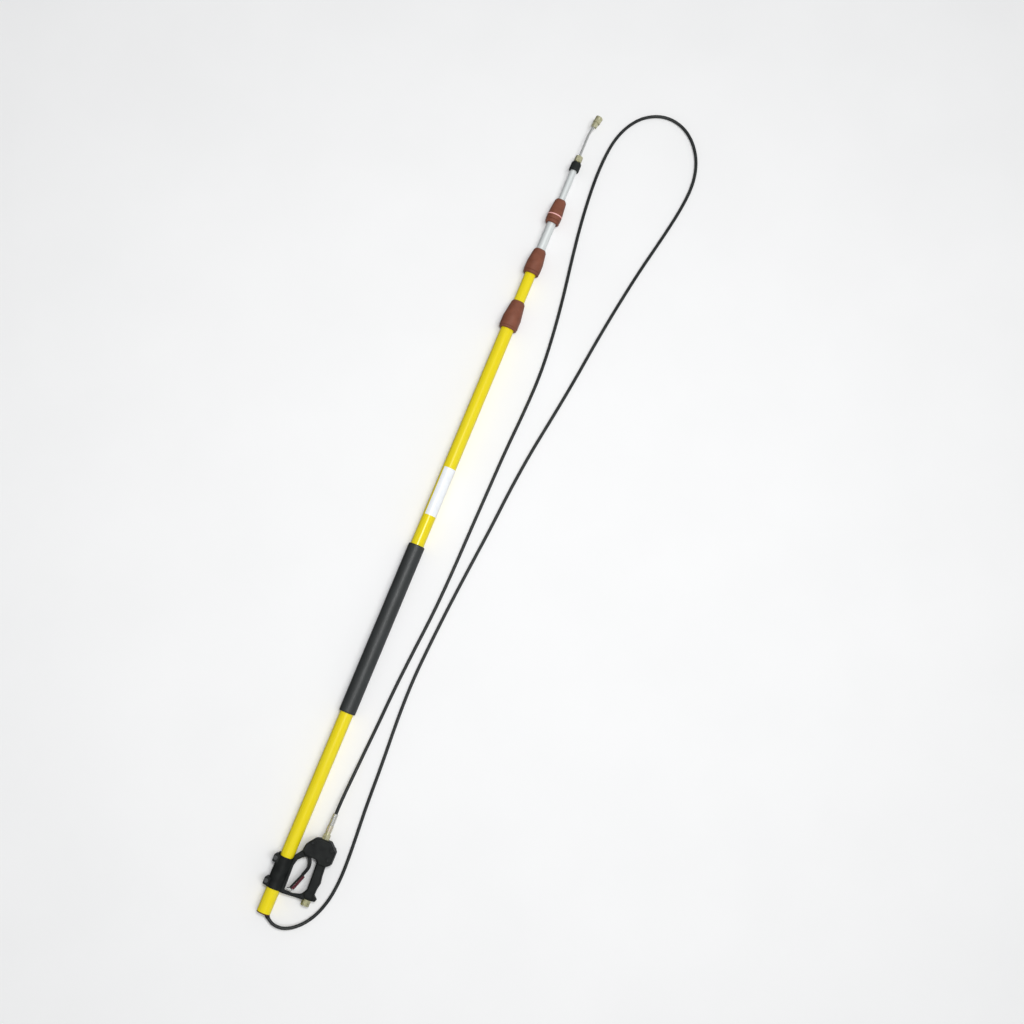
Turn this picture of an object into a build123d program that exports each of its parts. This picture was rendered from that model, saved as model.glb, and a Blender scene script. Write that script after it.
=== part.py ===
"""A telescopic high-pressure wash lance, collapsed and lying flat on the ground.

Four pole sections slide inside each other, held by three twist locks. A trigger gun is clamped
round the butt end. A hose leaves the gun, lies in a long loop beside the pole, enters the
pole's butt and runs up inside it to the lance rod at the tip.

Millimetres. +X runs along the pole from butt to tip, +Y points away from the gun, +Z is up, and
the lance rests on z = 0. Lengths named "along" start at the butt end, and lengths named "out"
start at the pole's axis and grow towards the gun.
"""

import math
import os

from build123d import *

os.makedirs("parts", exist_ok=True)

# ---- Driving dimensions ---------------------------------------------------------------------

# The pole: outer tube, second tube, third tube, tip tube.
TUBE_OD = [38.1, 31.75, 25.4, 19.05]
TUBE_WALL = [2.6, 2.6, 1.6, 1.5]
TUBE_START = [3.0, 30.0, 34.0, 38.0]
TUBE_END = [1783.0, 1957.0, 2115.0, 2273.0]
TUBE_NAME = ["outer_tube", "second_tube", "third_tube", "tip_tube"]
RUNNING = 0.05  # radial clearance of every running fit
CLEAR = 0.4  # radial gap where pieces only pass each other
GLIDE_LENGTH = 30.0

# The twist locks, from the butt: places along the pole, and outside radii.
LOCK_START = [1743.0, 1918.0, 2081.0]
LOCK_LIP_END = [1749.5, 1927.0, 2091.0]
LOCK_TAPER_START = [1778.0, 1954.0, 2109.0]
LOCK_END = [1830.0, 1996.0, 2156.0]
LOCK_RADIUS = [27.0, 24.1, 21.4]
LOCK_NOSE_RADIUS = [20.0, 18.6, 17.0]  # where the taper meets the nose's chamfer
LOCK_NOSE_LENGTH, LOCK_NOSE_DROP = 5.0, 3.0
LOCK_LIP_DROP = 1.0  # how far the base's lip stands below the nut
LOCK_MOUTH_DEPTH = [3.0, 3.0, 9.0]
THREAD_HEIGHT = 3.5
COLLET_LENGTH = [24.0, 22.0, 20.0]
COLLET_SLOTS = 4
BAND_START = 2104.5
BAND_WIDTH = 3.0

# The grip, the label and the butt end.
GRIP_START, GRIP_END, GRIP_RADIUS = 576.0, 1075.0, 23.5
LABEL_START, LABEL_END, LABEL_THICK = 1165.0, 1309.0, 0.25
LABEL_FROM_DEG, LABEL_TO_DEG = -41.0, 111.0  # from straight up, positive towards the gun
BUSH_LIP, BUSH_SPIGOT = 3.0, 22.0
GROMMET_OUT = 8.5  # where the grommet's axis crosses the bush's lip
GROMMET_ANGLE = 50.0  # between the grommet and the pole, turned towards the gun
GROMMET_INSIDE, GROMMET_OUTSIDE = 9.0, 12.0
GROMMET_RADIUS, GROMMET_NOSE_RADIUS = 6.0, 5.6

# The tip.
COLLAR_START, COLLAR_END, COLLAR_RADIUS = 2252.0, 2280.0, 14.5
NUT_START, NUT_END, NUT_FLATS = 2283.0, 2300.0, 19.0
ROD_RADIUS, ROD_BORE = 3.0, 1.5
ROD_BEND, ROD_BEND_ANGLE, ROD_BEND_RADIUS = 2374.0, 10.0, 60.0
NECK_START, SLEEVE_START, COUPLER_END = 26.5, 40.0, 59.5  # from the bend, along the tilted axis
COUPLER_NECK_RADIUS, COUPLER_SLEEVE_RADIUS = 8.0, 10.85
SOCKET_RADIUS, SOCKET_DEPTH = 5.6, 16.0
BALL_RADIUS, BALL_PLACE, BALL_COUNT = 1.15, 53.6, 6

# The hose.
HOSE_RADIUS, HOSE_BORE = 4.5, 3.0
HOSE_HEIGHT = 4.8
INNER_HOSE_START, INNER_HOSE_END = 40.0, 2212.0

# The gun: two moulded halves that meet on the pole's axis plane.
CLAMP_START, CLAMP_END, CLAMP_RADIUS = 71.5, 166.5, 23.75
SCOOP_START, SCOOP_LENGTH, SCOOP_WIDTH, SCOOP_ROUND = 160.2, 30.0, 38.8, 8.0
EAR_PLACES, EAR_WIDTH, EAR_REACH, EAR_HALF = [84.7, 149.2], 22.0, 31.3, 18.6
BOLT_OUT, BOLT_RADIUS, BOLT_HEAD_RADIUS, BOLT_HEAD = -25.0, 3.0, 5.0, 6.0
WASHER_RADIUS, WASHER_THICK, CLAMP_NUT_FLATS, CLAMP_NUT = 6.0, 1.0, 10.0, 5.0
ARM_HALF, HANDLE_HALF, HEAD_HALF, BOSS_HALF = 10.0, 15.0, 22.0, 27.0
BOSS_RADIUS, SCREW_RADIUS, SCREW_HEAD_RADIUS, SCREW_HEAD = 6.0, 2.0, 3.5, 2.6
HEAD_SCREWS = [(196.0, 110.0), (223.0, 109.5), (224.0, 54.0)]
ARM_SCREWS = [(81.5, 80.0), (178.0, 33.5)]
SCREW_GRIP = 8.0  # how far each screw reaches into the lower half

INLET_OUT, INLET_START, INLET_END = 95.0, 60.3, 78.0
INLET_RADIUS, INLET_BORE, INLET_BORE_DEPTH = 11.8, 7.5, 12.0
PIPE_RADIUS, PIPE_BORE = 6.0, 4.0
OUTLET_OUT = 79.0
OUTLET_HEX_START, OUTLET_HEX_END, OUTLET_END, OUTLET_FLATS = 241.8, 255.8, 263.4, 19.0
SWIVEL_END, SWIVEL_RADIUS = 281.2, 8.0
FERRULE_END, FERRULE_RADIUS = 314.3, 6.9

BLOCK_START, BLOCK_END, BLOCK_NEAR, BLOCK_FAR, BLOCK_HALF = 204.0, 236.0, 68.0, 101.0, 11.0
CHAMBER_START, CHAMBER_RADIUS, SEAT_THICK, SEAT_BORE = 210.0, 6.0, 2.0, 2.6
VALVE_BALL_RADIUS, PIN_RADIUS, STEM_START = 4.2, 2.5, 229.0

PIVOT_ALONG, PIVOT_OUT, PIVOT_RADIUS = 191.0, 50.0, 2.5
TRIGGER_HALF, TRIGGER_THICK, TRIGGER_TAIL_THICK = 6.0, 8.8, 5.6
NOSE_RADIUS, NOSE_GAP = 3.0, 0.3
LATCH_ALONG, LATCH_OUT, LATCH_PIN_RADIUS, LATCH_LENGTH = 86.5, 41.0, 1.5, 49.2
LATCH_ANGLE, LATCH_THICK, LATCH_HALF = 21.2, 7.2, 5.5

# ---- Where the lance stands in its frame ----------------------------------------------------

coupler_tilt = math.radians(ROD_BEND_ANGLE)
lance_end = (
    ROD_BEND
    + COUPLER_END * math.cos(coupler_tilt)
    + COUPLER_SLEEVE_RADIUS * math.sin(coupler_tilt)
)
GUN_REACH = 120.2
BUTT_X = -lance_end / 2
AXIS_Y = (GUN_REACH - EAR_REACH) / 2
AXIS_Z = LOCK_RADIUS[0]
POLE_AXIS = Axis((BUTT_X, AXIS_Y, AXIS_Z), (1, 0, 0))

# Side view of the pole: local x is along, local y is the radius.
POLE = Plane(origin=(BUTT_X, AXIS_Y, AXIS_Z), x_dir=(1, 0, 0), z_dir=(0, 0, 1))
# Plan of the gun: local x is along, local y is out. Its normal points down.
GUN = Plane(origin=(BUTT_X, AXIS_Y, AXIS_Z), x_dir=(1, 0, 0), z_dir=(0, 0, -1))
# Plan of the coupler: local x runs along the tilted rod from the bend.
COUPLER = Plane(
    origin=(BUTT_X + ROD_BEND, AXIS_Y, AXIS_Z),
    x_dir=(math.cos(coupler_tilt), -math.sin(coupler_tilt), 0),
    z_dir=(0, 0, 1),
)
COUPLER_AXIS = Axis(COUPLER.origin, COUPLER.x_dir)


def across(along, out=0.0):
    """A plane across the pole, its normal towards the tip: local x is +Y and local y is up."""
    return Plane(
        origin=(BUTT_X + along, AXIS_Y - out, AXIS_Z), x_dir=(0, 1, 0), z_dir=(1, 0, 0)
    )


def across_coupler(along):
    """A plane across the coupler, its normal towards the mouth."""
    return Plane(
        origin=COUPLER.from_local_coords((along, 0, 0)),
        x_dir=(0, 0, 1),
        z_dir=COUPLER.x_dir,
    )


def place(along, out, height):
    """A point of the hose's route in the lance's frame, with its height above the ground."""
    return (BUTT_X + along, AXIS_Y - out, height)


def save(piece, name):
    """Names a finished piece and writes it."""
    piece.part.label = name
    export_step(piece.part, f"parts/{name}.step")


def rims(piece, smallest, largest=1000.0):
    """The round edges of a piece with a radius between two values."""
    circles = piece.edges().filter_by(GeomType.CIRCLE)
    return circles.filter_by(lambda edge: smallest < edge.radius < largest)


def tube_radius(number):
    return TUBE_OD[number] / 2


def tube_bore(number):
    return TUBE_OD[number] / 2 - TUBE_WALL[number]


# ---- Pole sections --------------------------------------------------------------------------


def tube(number):
    with BuildPart() as pole_tube:
        with BuildSketch(across(TUBE_START[number])):
            Circle(tube_radius(number))
            Circle(tube_bore(number), mode=Mode.SUBTRACT)
        extrude(amount=TUBE_END[number] - TUBE_START[number])
        chamfer(pole_tube.edges().filter_by(GeomType.CIRCLE), 0.4)
    return pole_tube


def glide(number):
    """The low-friction bush on the lower end of an inner tube."""
    with BuildPart() as bush:
        with BuildSketch(across(TUBE_START[number] + 0.5)):
            Circle(tube_bore(number - 1) - RUNNING)
            Circle(tube_radius(number), mode=Mode.SUBTRACT)
        extrude(amount=GLIDE_LENGTH)
    return bush


for number in range(4):
    save(tube(number), TUBE_NAME[number])
for number in (1, 2, 3):
    save(glide(number), f"glide_{number + 1}")


# ---- Twist locks ----------------------------------------------------------------------------


def lock_base(number):
    """The threaded sleeve that is bonded over the outer tube's end."""
    start, lip_end = LOCK_START[number], LOCK_LIP_END[number]
    tube_end = TUBE_END[number]
    outer, inner = tube_radius(number), tube_radius(number + 1)
    lip = LOCK_RADIUS[number] - LOCK_LIP_DROP
    with BuildPart() as base:
        with BuildSketch(POLE):
            with BuildLine():
                Polyline(
                    (start, outer + 3.2),
                    (start, lip - 2.5),
                    (start + 2.5, lip),
                    (lip_end, lip),
                    (lip_end, outer + THREAD_HEIGHT),
                    (tube_end + 2, outer + THREAD_HEIGHT),
                    (tube_end + 2, inner + CLEAR),
                    (tube_end, inner + CLEAR),
                    (tube_end, outer),
                    (start + LOCK_MOUTH_DEPTH[number], outer),
                    close=True,
                )
            make_face()
        revolve(axis=POLE_AXIS)
    return base


def lock_collet(number):
    """The slotted taper that the nut squeezes onto the inner tube."""
    start = TUBE_END[number] + 2
    end = start + COLLET_LENGTH[number]
    outer, inner = tube_radius(number), tube_radius(number + 1)
    with BuildPart() as collet:
        with BuildSketch(POLE):
            with BuildLine():
                Polyline(
                    (start, inner + RUNNING),
                    (start, outer + 2.4),
                    (start + 3, outer + 2.4),
                    (start + 3, outer + 1.2),
                    (end, inner + 1.7),
                    (end, inner + RUNNING),
                    close=True,
                )
            make_face()
        revolve(axis=POLE_AXIS)
        with BuildSketch(across(start + 5)):
            with PolarLocations(0, COLLET_SLOTS, start_angle=45):
                Rectangle(outer + 4, 1.2, align=(Align.MIN, Align.CENTER))
        extrude(amount=COLLET_LENGTH[number], mode=Mode.SUBTRACT)
    return collet


def lock_nut(number):
    """The tapered hand grip that screws over the base and the collet."""
    start = LOCK_LIP_END[number] + 0.5
    taper, end = LOCK_TAPER_START[number], LOCK_END[number]
    radius, nose = LOCK_RADIUS[number], LOCK_NOSE_RADIUS[number]
    outer, inner = tube_radius(number), tube_radius(number + 1)
    thread = outer + THREAD_HEIGHT + RUNNING
    collet_start = TUBE_END[number] + 2
    collet_end = collet_start + COLLET_LENGTH[number]
    gap = 0.35
    with BuildPart() as nut:
        with BuildSketch(POLE):
            with BuildLine():
                Polyline(
                    (start, thread),
                    (start, radius - 0.9),
                    (start + 0.9, radius),
                    (taper, radius),
                    (end - LOCK_NOSE_LENGTH, nose),
                    (end, nose - LOCK_NOSE_DROP),
                    (end, inner + CLEAR),
                    (collet_end + 1, inner + CLEAR),
                    (collet_end + 1, inner + 1.7 + gap),
                    (collet_start + 3 + gap, outer + 1.2 + 2 * gap),
                    (collet_start + 3 + gap, outer + 2.4 + gap),
                    (collet_start + 0.4, outer + 2.4 + gap),
                    (collet_start + 0.4, thread),
                    close=True,
                )
            make_face()
        revolve(axis=POLE_AXIS)
        if number == 2:
            with BuildSketch(across(BAND_START)):
                Circle(radius + 1)
                Circle(radius - 1, mode=Mode.SUBTRACT)
            extrude(amount=BAND_WIDTH, mode=Mode.SUBTRACT)
    return nut


for number in range(3):
    save(lock_base(number), f"lock{number + 1}_base")
    save(lock_collet(number), f"lock{number + 1}_collet")
    save(lock_nut(number), f"lock{number + 1}_nut")

with BuildPart() as lock3_band:
    with BuildSketch(across(BAND_START)):
        Circle(LOCK_RADIUS[2] + 0.25)
        Circle(LOCK_RADIUS[2] - 1, mode=Mode.SUBTRACT)
    extrude(amount=BAND_WIDTH)
save(lock3_band, "lock3_band")

# ---- Grip, label and butt end ---------------------------------------------------------------

with BuildPart() as foam_grip:
    with BuildSketch(across(GRIP_START)):
        Circle(GRIP_RADIUS)
        Circle(tube_radius(0), mode=Mode.SUBTRACT)
    extrude(amount=GRIP_END - GRIP_START)
    fillet(rims(foam_grip, GRIP_RADIUS - 1), 2.5)
save(foam_grip, "foam_grip")

with BuildPart() as blank_label:
    with BuildSketch(POLE):
        with Locations(((LABEL_START + LABEL_END) / 2, tube_radius(0) + LABEL_THICK / 2)):
            Rectangle(LABEL_END - LABEL_START, LABEL_THICK)
    # The profile starts level with the axis on the +Y side, and 90 degrees more is straight up.
    revolve(axis=POLE_AXIS, revolution_arc=LABEL_TO_DEG - LABEL_FROM_DEG)
label_turn = 90 + LABEL_FROM_DEG
blank_label.part = blank_label.part.rotate(POLE_AXIS, label_turn)
save(blank_label, "blank_label")

grommet_turn = math.radians(GROMMET_ANGLE)
grommet_out = Vector(-math.cos(grommet_turn), -math.sin(grommet_turn), 0)
grommet_middle = Vector(BUTT_X + BUSH_LIP / 2, AXIS_Y - GROMMET_OUT, AXIS_Z)
grommet_plane = Plane(
    origin=grommet_middle - grommet_out * GROMMET_INSIDE, x_dir=(0, 0, 1), z_dir=grommet_out
)

with BuildPart() as butt_bush:
    with BuildSketch(across(0)):
        Circle(tube_radius(0))
    extrude(amount=BUSH_LIP)
    outer_rim = butt_bush.edges().filter_by(GeomType.CIRCLE).sort_by(Axis.X)[0]
    fillet(outer_rim, 1.2)
    with BuildSketch(across(BUSH_LIP)):
        Circle(tube_bore(0))
    extrude(amount=BUSH_SPIGOT)
    with BuildSketch(across(BUSH_LIP + 4)):
        Circle(tube_bore(0) - 2)
    extrude(amount=BUSH_SPIGOT, mode=Mode.SUBTRACT)
    with BuildSketch(grommet_plane):
        Circle(GROMMET_RADIUS)
    extrude(amount=GROMMET_INSIDE + GROMMET_OUTSIDE, mode=Mode.SUBTRACT)
save(butt_bush, "butt_bush")

with BuildPart() as hose_grommet:
    with BuildSketch(grommet_plane):
        Circle(GROMMET_RADIUS)
    with BuildSketch(grommet_plane.offset(GROMMET_INSIDE + GROMMET_OUTSIDE)):
        Circle(GROMMET_NOSE_RADIUS)
    loft()
    with BuildSketch(grommet_plane):
        Circle(HOSE_RADIUS)
    extrude(amount=GROMMET_INSIDE + GROMMET_OUTSIDE, mode=Mode.SUBTRACT)
save(hose_grommet, "hose_grommet")

# ---- Tip: collar, adapter, nut and rod ------------------------------------------------------

with BuildPart() as tip_collar:
    with BuildSketch(POLE):
        with BuildLine():
            Polyline(
                (COLLAR_START, tube_radius(3) + 3),
                (COLLAR_START, COLLAR_RADIUS - 1),
                (COLLAR_START + 1, COLLAR_RADIUS),
                (COLLAR_END - 4, COLLAR_RADIUS),
                (COLLAR_END, COLLAR_RADIUS - 3),
                (COLLAR_END, 6.5),
                (TUBE_END[3], 6.5),
                (TUBE_END[3], tube_radius(3)),
                (COLLAR_START + 8, tube_radius(3)),
                close=True,
            )
        make_face()
    revolve(axis=POLE_AXIS)
save(tip_collar, "tip_collar")

BARB_START, BARB_END = 2200.0, 2228.0

with BuildPart() as tip_adapter:
    with BuildSketch(POLE):
        with BuildLine():
            Polyline(
                (BARB_START, 1.8),
                (BARB_START, 2.6),
                (BARB_START + 3, HOSE_BORE),
                (BARB_END, HOSE_BORE),
                (BARB_END, tube_bore(3)),
                (TUBE_END[3], tube_bore(3)),
                (TUBE_END[3], 6.5),
                (NUT_END - 3, 6.5),
                (NUT_END - 3, ROD_RADIUS),
                (NUT_START, ROD_RADIUS),
                (NUT_START, 1.8),
                close=True,
            )
        make_face()
    revolve(axis=POLE_AXIS)
save(tip_adapter, "tip_adapter")

with BuildPart() as tip_hex_nut:
    with BuildSketch(across(NUT_START)):
        RegularPolygon(NUT_FLATS / 2, 6, major_radius=False)
    extrude(amount=NUT_END - NUT_START)
    with BuildSketch(POLE):
        with BuildLine():
            Polyline(
                (NUT_START - 1, 0),
                (NUT_START - 1, NUT_FLATS / 2),
                (NUT_START + 1.4, NUT_FLATS * 0.59),
                (NUT_END - 1.4, NUT_FLATS * 0.59),
                (NUT_END + 1, NUT_FLATS / 2 - 1),
                (NUT_END + 1, 0),
                close=True,
            )
        make_face()
    revolve(axis=POLE_AXIS, mode=Mode.INTERSECT)
    with BuildSketch(across(NUT_START)):
        Circle(6.5)
    extrude(amount=NUT_END - NUT_START - 3, mode=Mode.SUBTRACT)
    with BuildSketch(across(NUT_START)):
        Circle(ROD_RADIUS)
    extrude(amount=NUT_END - NUT_START, mode=Mode.SUBTRACT)
save(tip_hex_nut, "tip_hex_nut")

rod_points = [
    POLE.from_local_coords((NUT_START, 0, 0)),
    POLE.from_local_coords((ROD_BEND, 0, 0)),
    COUPLER.from_local_coords((NECK_START + 8, 0, 0)),
]
with BuildPart() as lance_rod:
    with BuildLine():
        FilletPolyline(*rod_points, radius=ROD_BEND_RADIUS)
    with BuildSketch(across(NUT_START)):
        Circle(ROD_RADIUS)
        Circle(ROD_BORE, mode=Mode.SUBTRACT)
    sweep()
save(lance_rod, "lance_rod")

# ---- Quick coupler --------------------------------------------------------------------------

SEAL_START, SEAL_WIDTH, RING_START, RING_WIDTH = 41.3, 2.2, 41.5, 1.2
SHOULDER_START, RECESS_START = 50.5, 56.5
NECK_CORNER = 8.9
barrel = COUPLER_NECK_RADIUS
chamber = COUPLER_SLEEVE_RADIUS - 1.25

with BuildPart() as coupler_body:
    with BuildSketch(across_coupler(NECK_START)):
        RegularPolygon(barrel, 6, major_radius=False)
    extrude(amount=RING_START - 4 - NECK_START)
    with BuildSketch(across_coupler(NECK_START)):
        Circle(NECK_CORNER)
    extrude(amount=RING_START - 4 - NECK_START, mode=Mode.INTERSECT)
    with BuildSketch(across_coupler(RING_START - 4)):
        Circle(barrel)
    extrude(amount=COUPLER_END - RING_START + 4)
    with BuildSketch(across_coupler(COUPLER_END - SOCKET_DEPTH)):
        Circle(SOCKET_RADIUS)
    extrude(amount=SOCKET_DEPTH, mode=Mode.SUBTRACT)
    with BuildSketch(across_coupler(SEAL_START)):
        Circle(SOCKET_RADIUS - 0.6)
    extrude(amount=SEAL_WIDTH, mode=Mode.SUBTRACT)
    with BuildSketch(across_coupler(NECK_START)):
        Circle(ROD_RADIUS)
    extrude(amount=8, mode=Mode.SUBTRACT)
    with BuildSketch(across_coupler(NECK_START)):
        Circle(ROD_BORE)
    extrude(amount=SEAL_START - NECK_START, mode=Mode.SUBTRACT)
    with BuildSketch(across_coupler(RING_START)):
        Circle(barrel)
        Circle(barrel - 0.6, mode=Mode.SUBTRACT)
    extrude(amount=RING_WIDTH, mode=Mode.SUBTRACT)
    for turn in range(BALL_COUNT):
        around = 2 * math.pi * turn / BALL_COUNT
        side = COUPLER.y_dir * math.cos(around) + COUPLER.z_dir * math.sin(around)
        foot = COUPLER.from_local_coords((BALL_PLACE, 0, 0)) + side * (SOCKET_RADIUS - 1)
        with BuildSketch(Plane(origin=foot, x_dir=COUPLER.x_dir, z_dir=side)):
            Circle(BALL_RADIUS + RUNNING)
        extrude(amount=barrel - SOCKET_RADIUS + 2, mode=Mode.SUBTRACT)
save(coupler_body, "coupler_body")

with BuildPart() as coupler_balls:
    for turn in range(BALL_COUNT):
        around = 2 * math.pi * turn / BALL_COUNT
        side = COUPLER.y_dir * math.cos(around) + COUPLER.z_dir * math.sin(around)
        middle = COUPLER.from_local_coords((BALL_PLACE, 0, 0))
        with Locations(middle + side * (barrel - BALL_RADIUS - RUNNING)):
            Sphere(BALL_RADIUS)
save(coupler_balls, "coupler_balls")

with BuildPart() as coupler_seal:
    with BuildSketch(across_coupler(SEAL_START)):
        Circle(SOCKET_RADIUS - 0.6)
        Circle(SOCKET_RADIUS - 2.6, mode=Mode.SUBTRACT)
    extrude(amount=SEAL_WIDTH)
    fillet(rims(coupler_seal, 0, SOCKET_RADIUS - 2), 0.6)
save(coupler_seal, "coupler_seal")

with BuildPart() as coupler_ring:
    with BuildSketch(across_coupler(RING_START)):
        Circle(chamber - 0.4)
        Circle(barrel - 0.6, mode=Mode.SUBTRACT)
        with Locations((barrel, 0)):
            Rectangle(4, 2, mode=Mode.SUBTRACT)
    extrude(amount=RING_WIDTH)
save(coupler_ring, "coupler_ring")

with BuildPart() as coupler_sleeve:
    with BuildSketch(COUPLER):
        with BuildLine():
            Polyline(
                (SLEEVE_START, chamber),
                (SLEEVE_START, COUPLER_SLEEVE_RADIUS - 0.8),
                (SLEEVE_START + 0.8, COUPLER_SLEEVE_RADIUS),
                (SLEEVE_START + 4, COUPLER_SLEEVE_RADIUS),
                (SLEEVE_START + 5, COUPLER_SLEEVE_RADIUS - 0.7),
                (SLEEVE_START + 13, COUPLER_SLEEVE_RADIUS - 0.7),
                (SLEEVE_START + 14, COUPLER_SLEEVE_RADIUS),
                (COUPLER_END - 1, COUPLER_SLEEVE_RADIUS),
                (COUPLER_END, COUPLER_SLEEVE_RADIUS - 1),
                (COUPLER_END, chamber),
                (RECESS_START, chamber),
                (RECESS_START, barrel + RUNNING),
                (SHOULDER_START, barrel + RUNNING),
                (SHOULDER_START, chamber),
                close=True,
            )
        make_face()
    revolve(axis=COUPLER_AXIS)
save(coupler_sleeve, "coupler_sleeve")


def coil(start, length, mean_radius, wire_radius, turns, direction):
    """A compression spring of round wire, from start along direction."""
    pitch = (length - 2 * wire_radius) / turns
    height = length - 2 * wire_radius
    foot = start + direction * wire_radius
    with BuildPart() as spring:
        with BuildLine() as wire:
            Helix(pitch, height, mean_radius, center=foot, direction=direction)
        with BuildSketch(Plane(origin=wire.line @ 0, z_dir=wire.line % 0)):
            Circle(wire_radius)
        sweep(is_frenet=True)
    return spring


spring_start = COUPLER.from_local_coords((RING_START + RING_WIDTH + 0.1, 0, 0))
spring_room = SHOULDER_START - RING_START - RING_WIDTH - 0.2
spring_radius = (barrel + chamber) / 2
coupler_spring = coil(spring_start, spring_room, spring_radius, 0.35, 3, COUPLER.x_dir)
save(coupler_spring, "coupler_spring")

# ---- Gun halves -----------------------------------------------------------------------------

FRAME_OUTLINE = [
    (69.0, 12.0),
    (69.0, 30.0),
    (74.0, 86.0),
    (80.5, 117.0),
    (86.5, 119.6),
    (96.0, 108.7),
    (110.0, 108.9),
    (129.0, 112.3),
    (147.0, 109.1),
    (168.0, 107.2),
    (176.0, 109.0),
    (185.0, GUN_REACH),
    (221.0, GUN_REACH),
    (241.5, 98.0),
    (241.5, 70.0),
    (237.0, 54.0),
    (215.0, 36.8),
    (194.0, 34.0),
    (176.0, 20.5),
    (158.0, 12.0),
]
FRAME_ROUNDS = [1, 4, 9, 2.6, 2.0, 4, 9, 9, 9, 4, 4, 4.5, 5, 5, 6, 8, 8, 8, 8, 1]
LOOP_OUTLINE = [
    (77.5, 28.0),
    (146.0, 25.6),
    (164.5, 30.2),
    (175.5, 41.0),
    (182.0, 52.0),
    (185.0, 66.0),
    (184.0, 76.5),
    (177.0, 82.0),
    (103.0, 85.0),
    (84.5, 74.0),
    (77.8, 52.0),
]
LOOP_ROUNDS = [3.0, 12.0, 14.0, 14.0, 12.0, 8.0, 4.5, 4.5, 9.0, 14.0, 18.0]
HANDLE_OUTLINE = [
    (78.0, 88.0),
    (82.0, 109.2),
    (110.0, 109.4),
    (129.0, 112.8),
    (147.0, 109.6),
    (168.0, 107.7),
    (196.0, 108.0),
    (196.0, 80.8),
    (177.0, 81.8),
    (103.0, 85.4),
    (92.0, 79.0),
]
HANDLE_ROUNDS = [6.5, 6.5, 9, 9, 9, 9, 6.5, 6.5, 9, 9, 6.5]
HEAD_OUTLINE = [
    (175.5, 107.6),
    (185.0, GUN_REACH),
    (221.0, GUN_REACH),
    (241.5, 98.0),
    (241.5, 70.0),
    (237.0, 54.0),
    (215.0, 36.8),
    (196.0, 34.2),
    (184.0, 46.0),
    (185.6, 66.0),
    (184.6, 80.0),
    (175.0, 88.0),
]
HEAD_ROUNDS = [4.2, 4.5, 5, 5, 6, 8, 8, 6, 9, 8, 4.2, 4.2]
TRIGGER_POCKET_START, TRIGGER_POCKET_END = 180.0, BLOCK_START
TRIGGER_POCKET_NEAR, TRIGGER_POCKET_FAR = 41.5, 84.0


def rounded_outline(points, rounds):
    """A closed outline, each corner rounded by its own radius."""
    with BuildSketch(mode=Mode.PRIVATE) as flat:
        with BuildLine():
            Polyline(*points, close=True)
        make_face()
        for corner, radius in zip(points, rounds):
            vertex = flat.vertices().sort_by_distance((*corner, 0))[0]
            fillet(vertex, radius)
    return flat.sketch


def slab(points, rounds, height, edge_round, side, hole=None):
    """A flat moulding from the split to its height, with its outer rim rounded."""
    with BuildPart() as moulding:
        with BuildSketch(GUN):
            add(rounded_outline(points, rounds))
            if hole:
                add(rounded_outline(*hole), mode=Mode.SUBTRACT)
        extrude(amount=-side * height)
        fillet(moulding.faces().sort_by(Axis.Z)[-1 if side > 0 else 0].edges(), edge_round)
    return moulding.part


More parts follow.
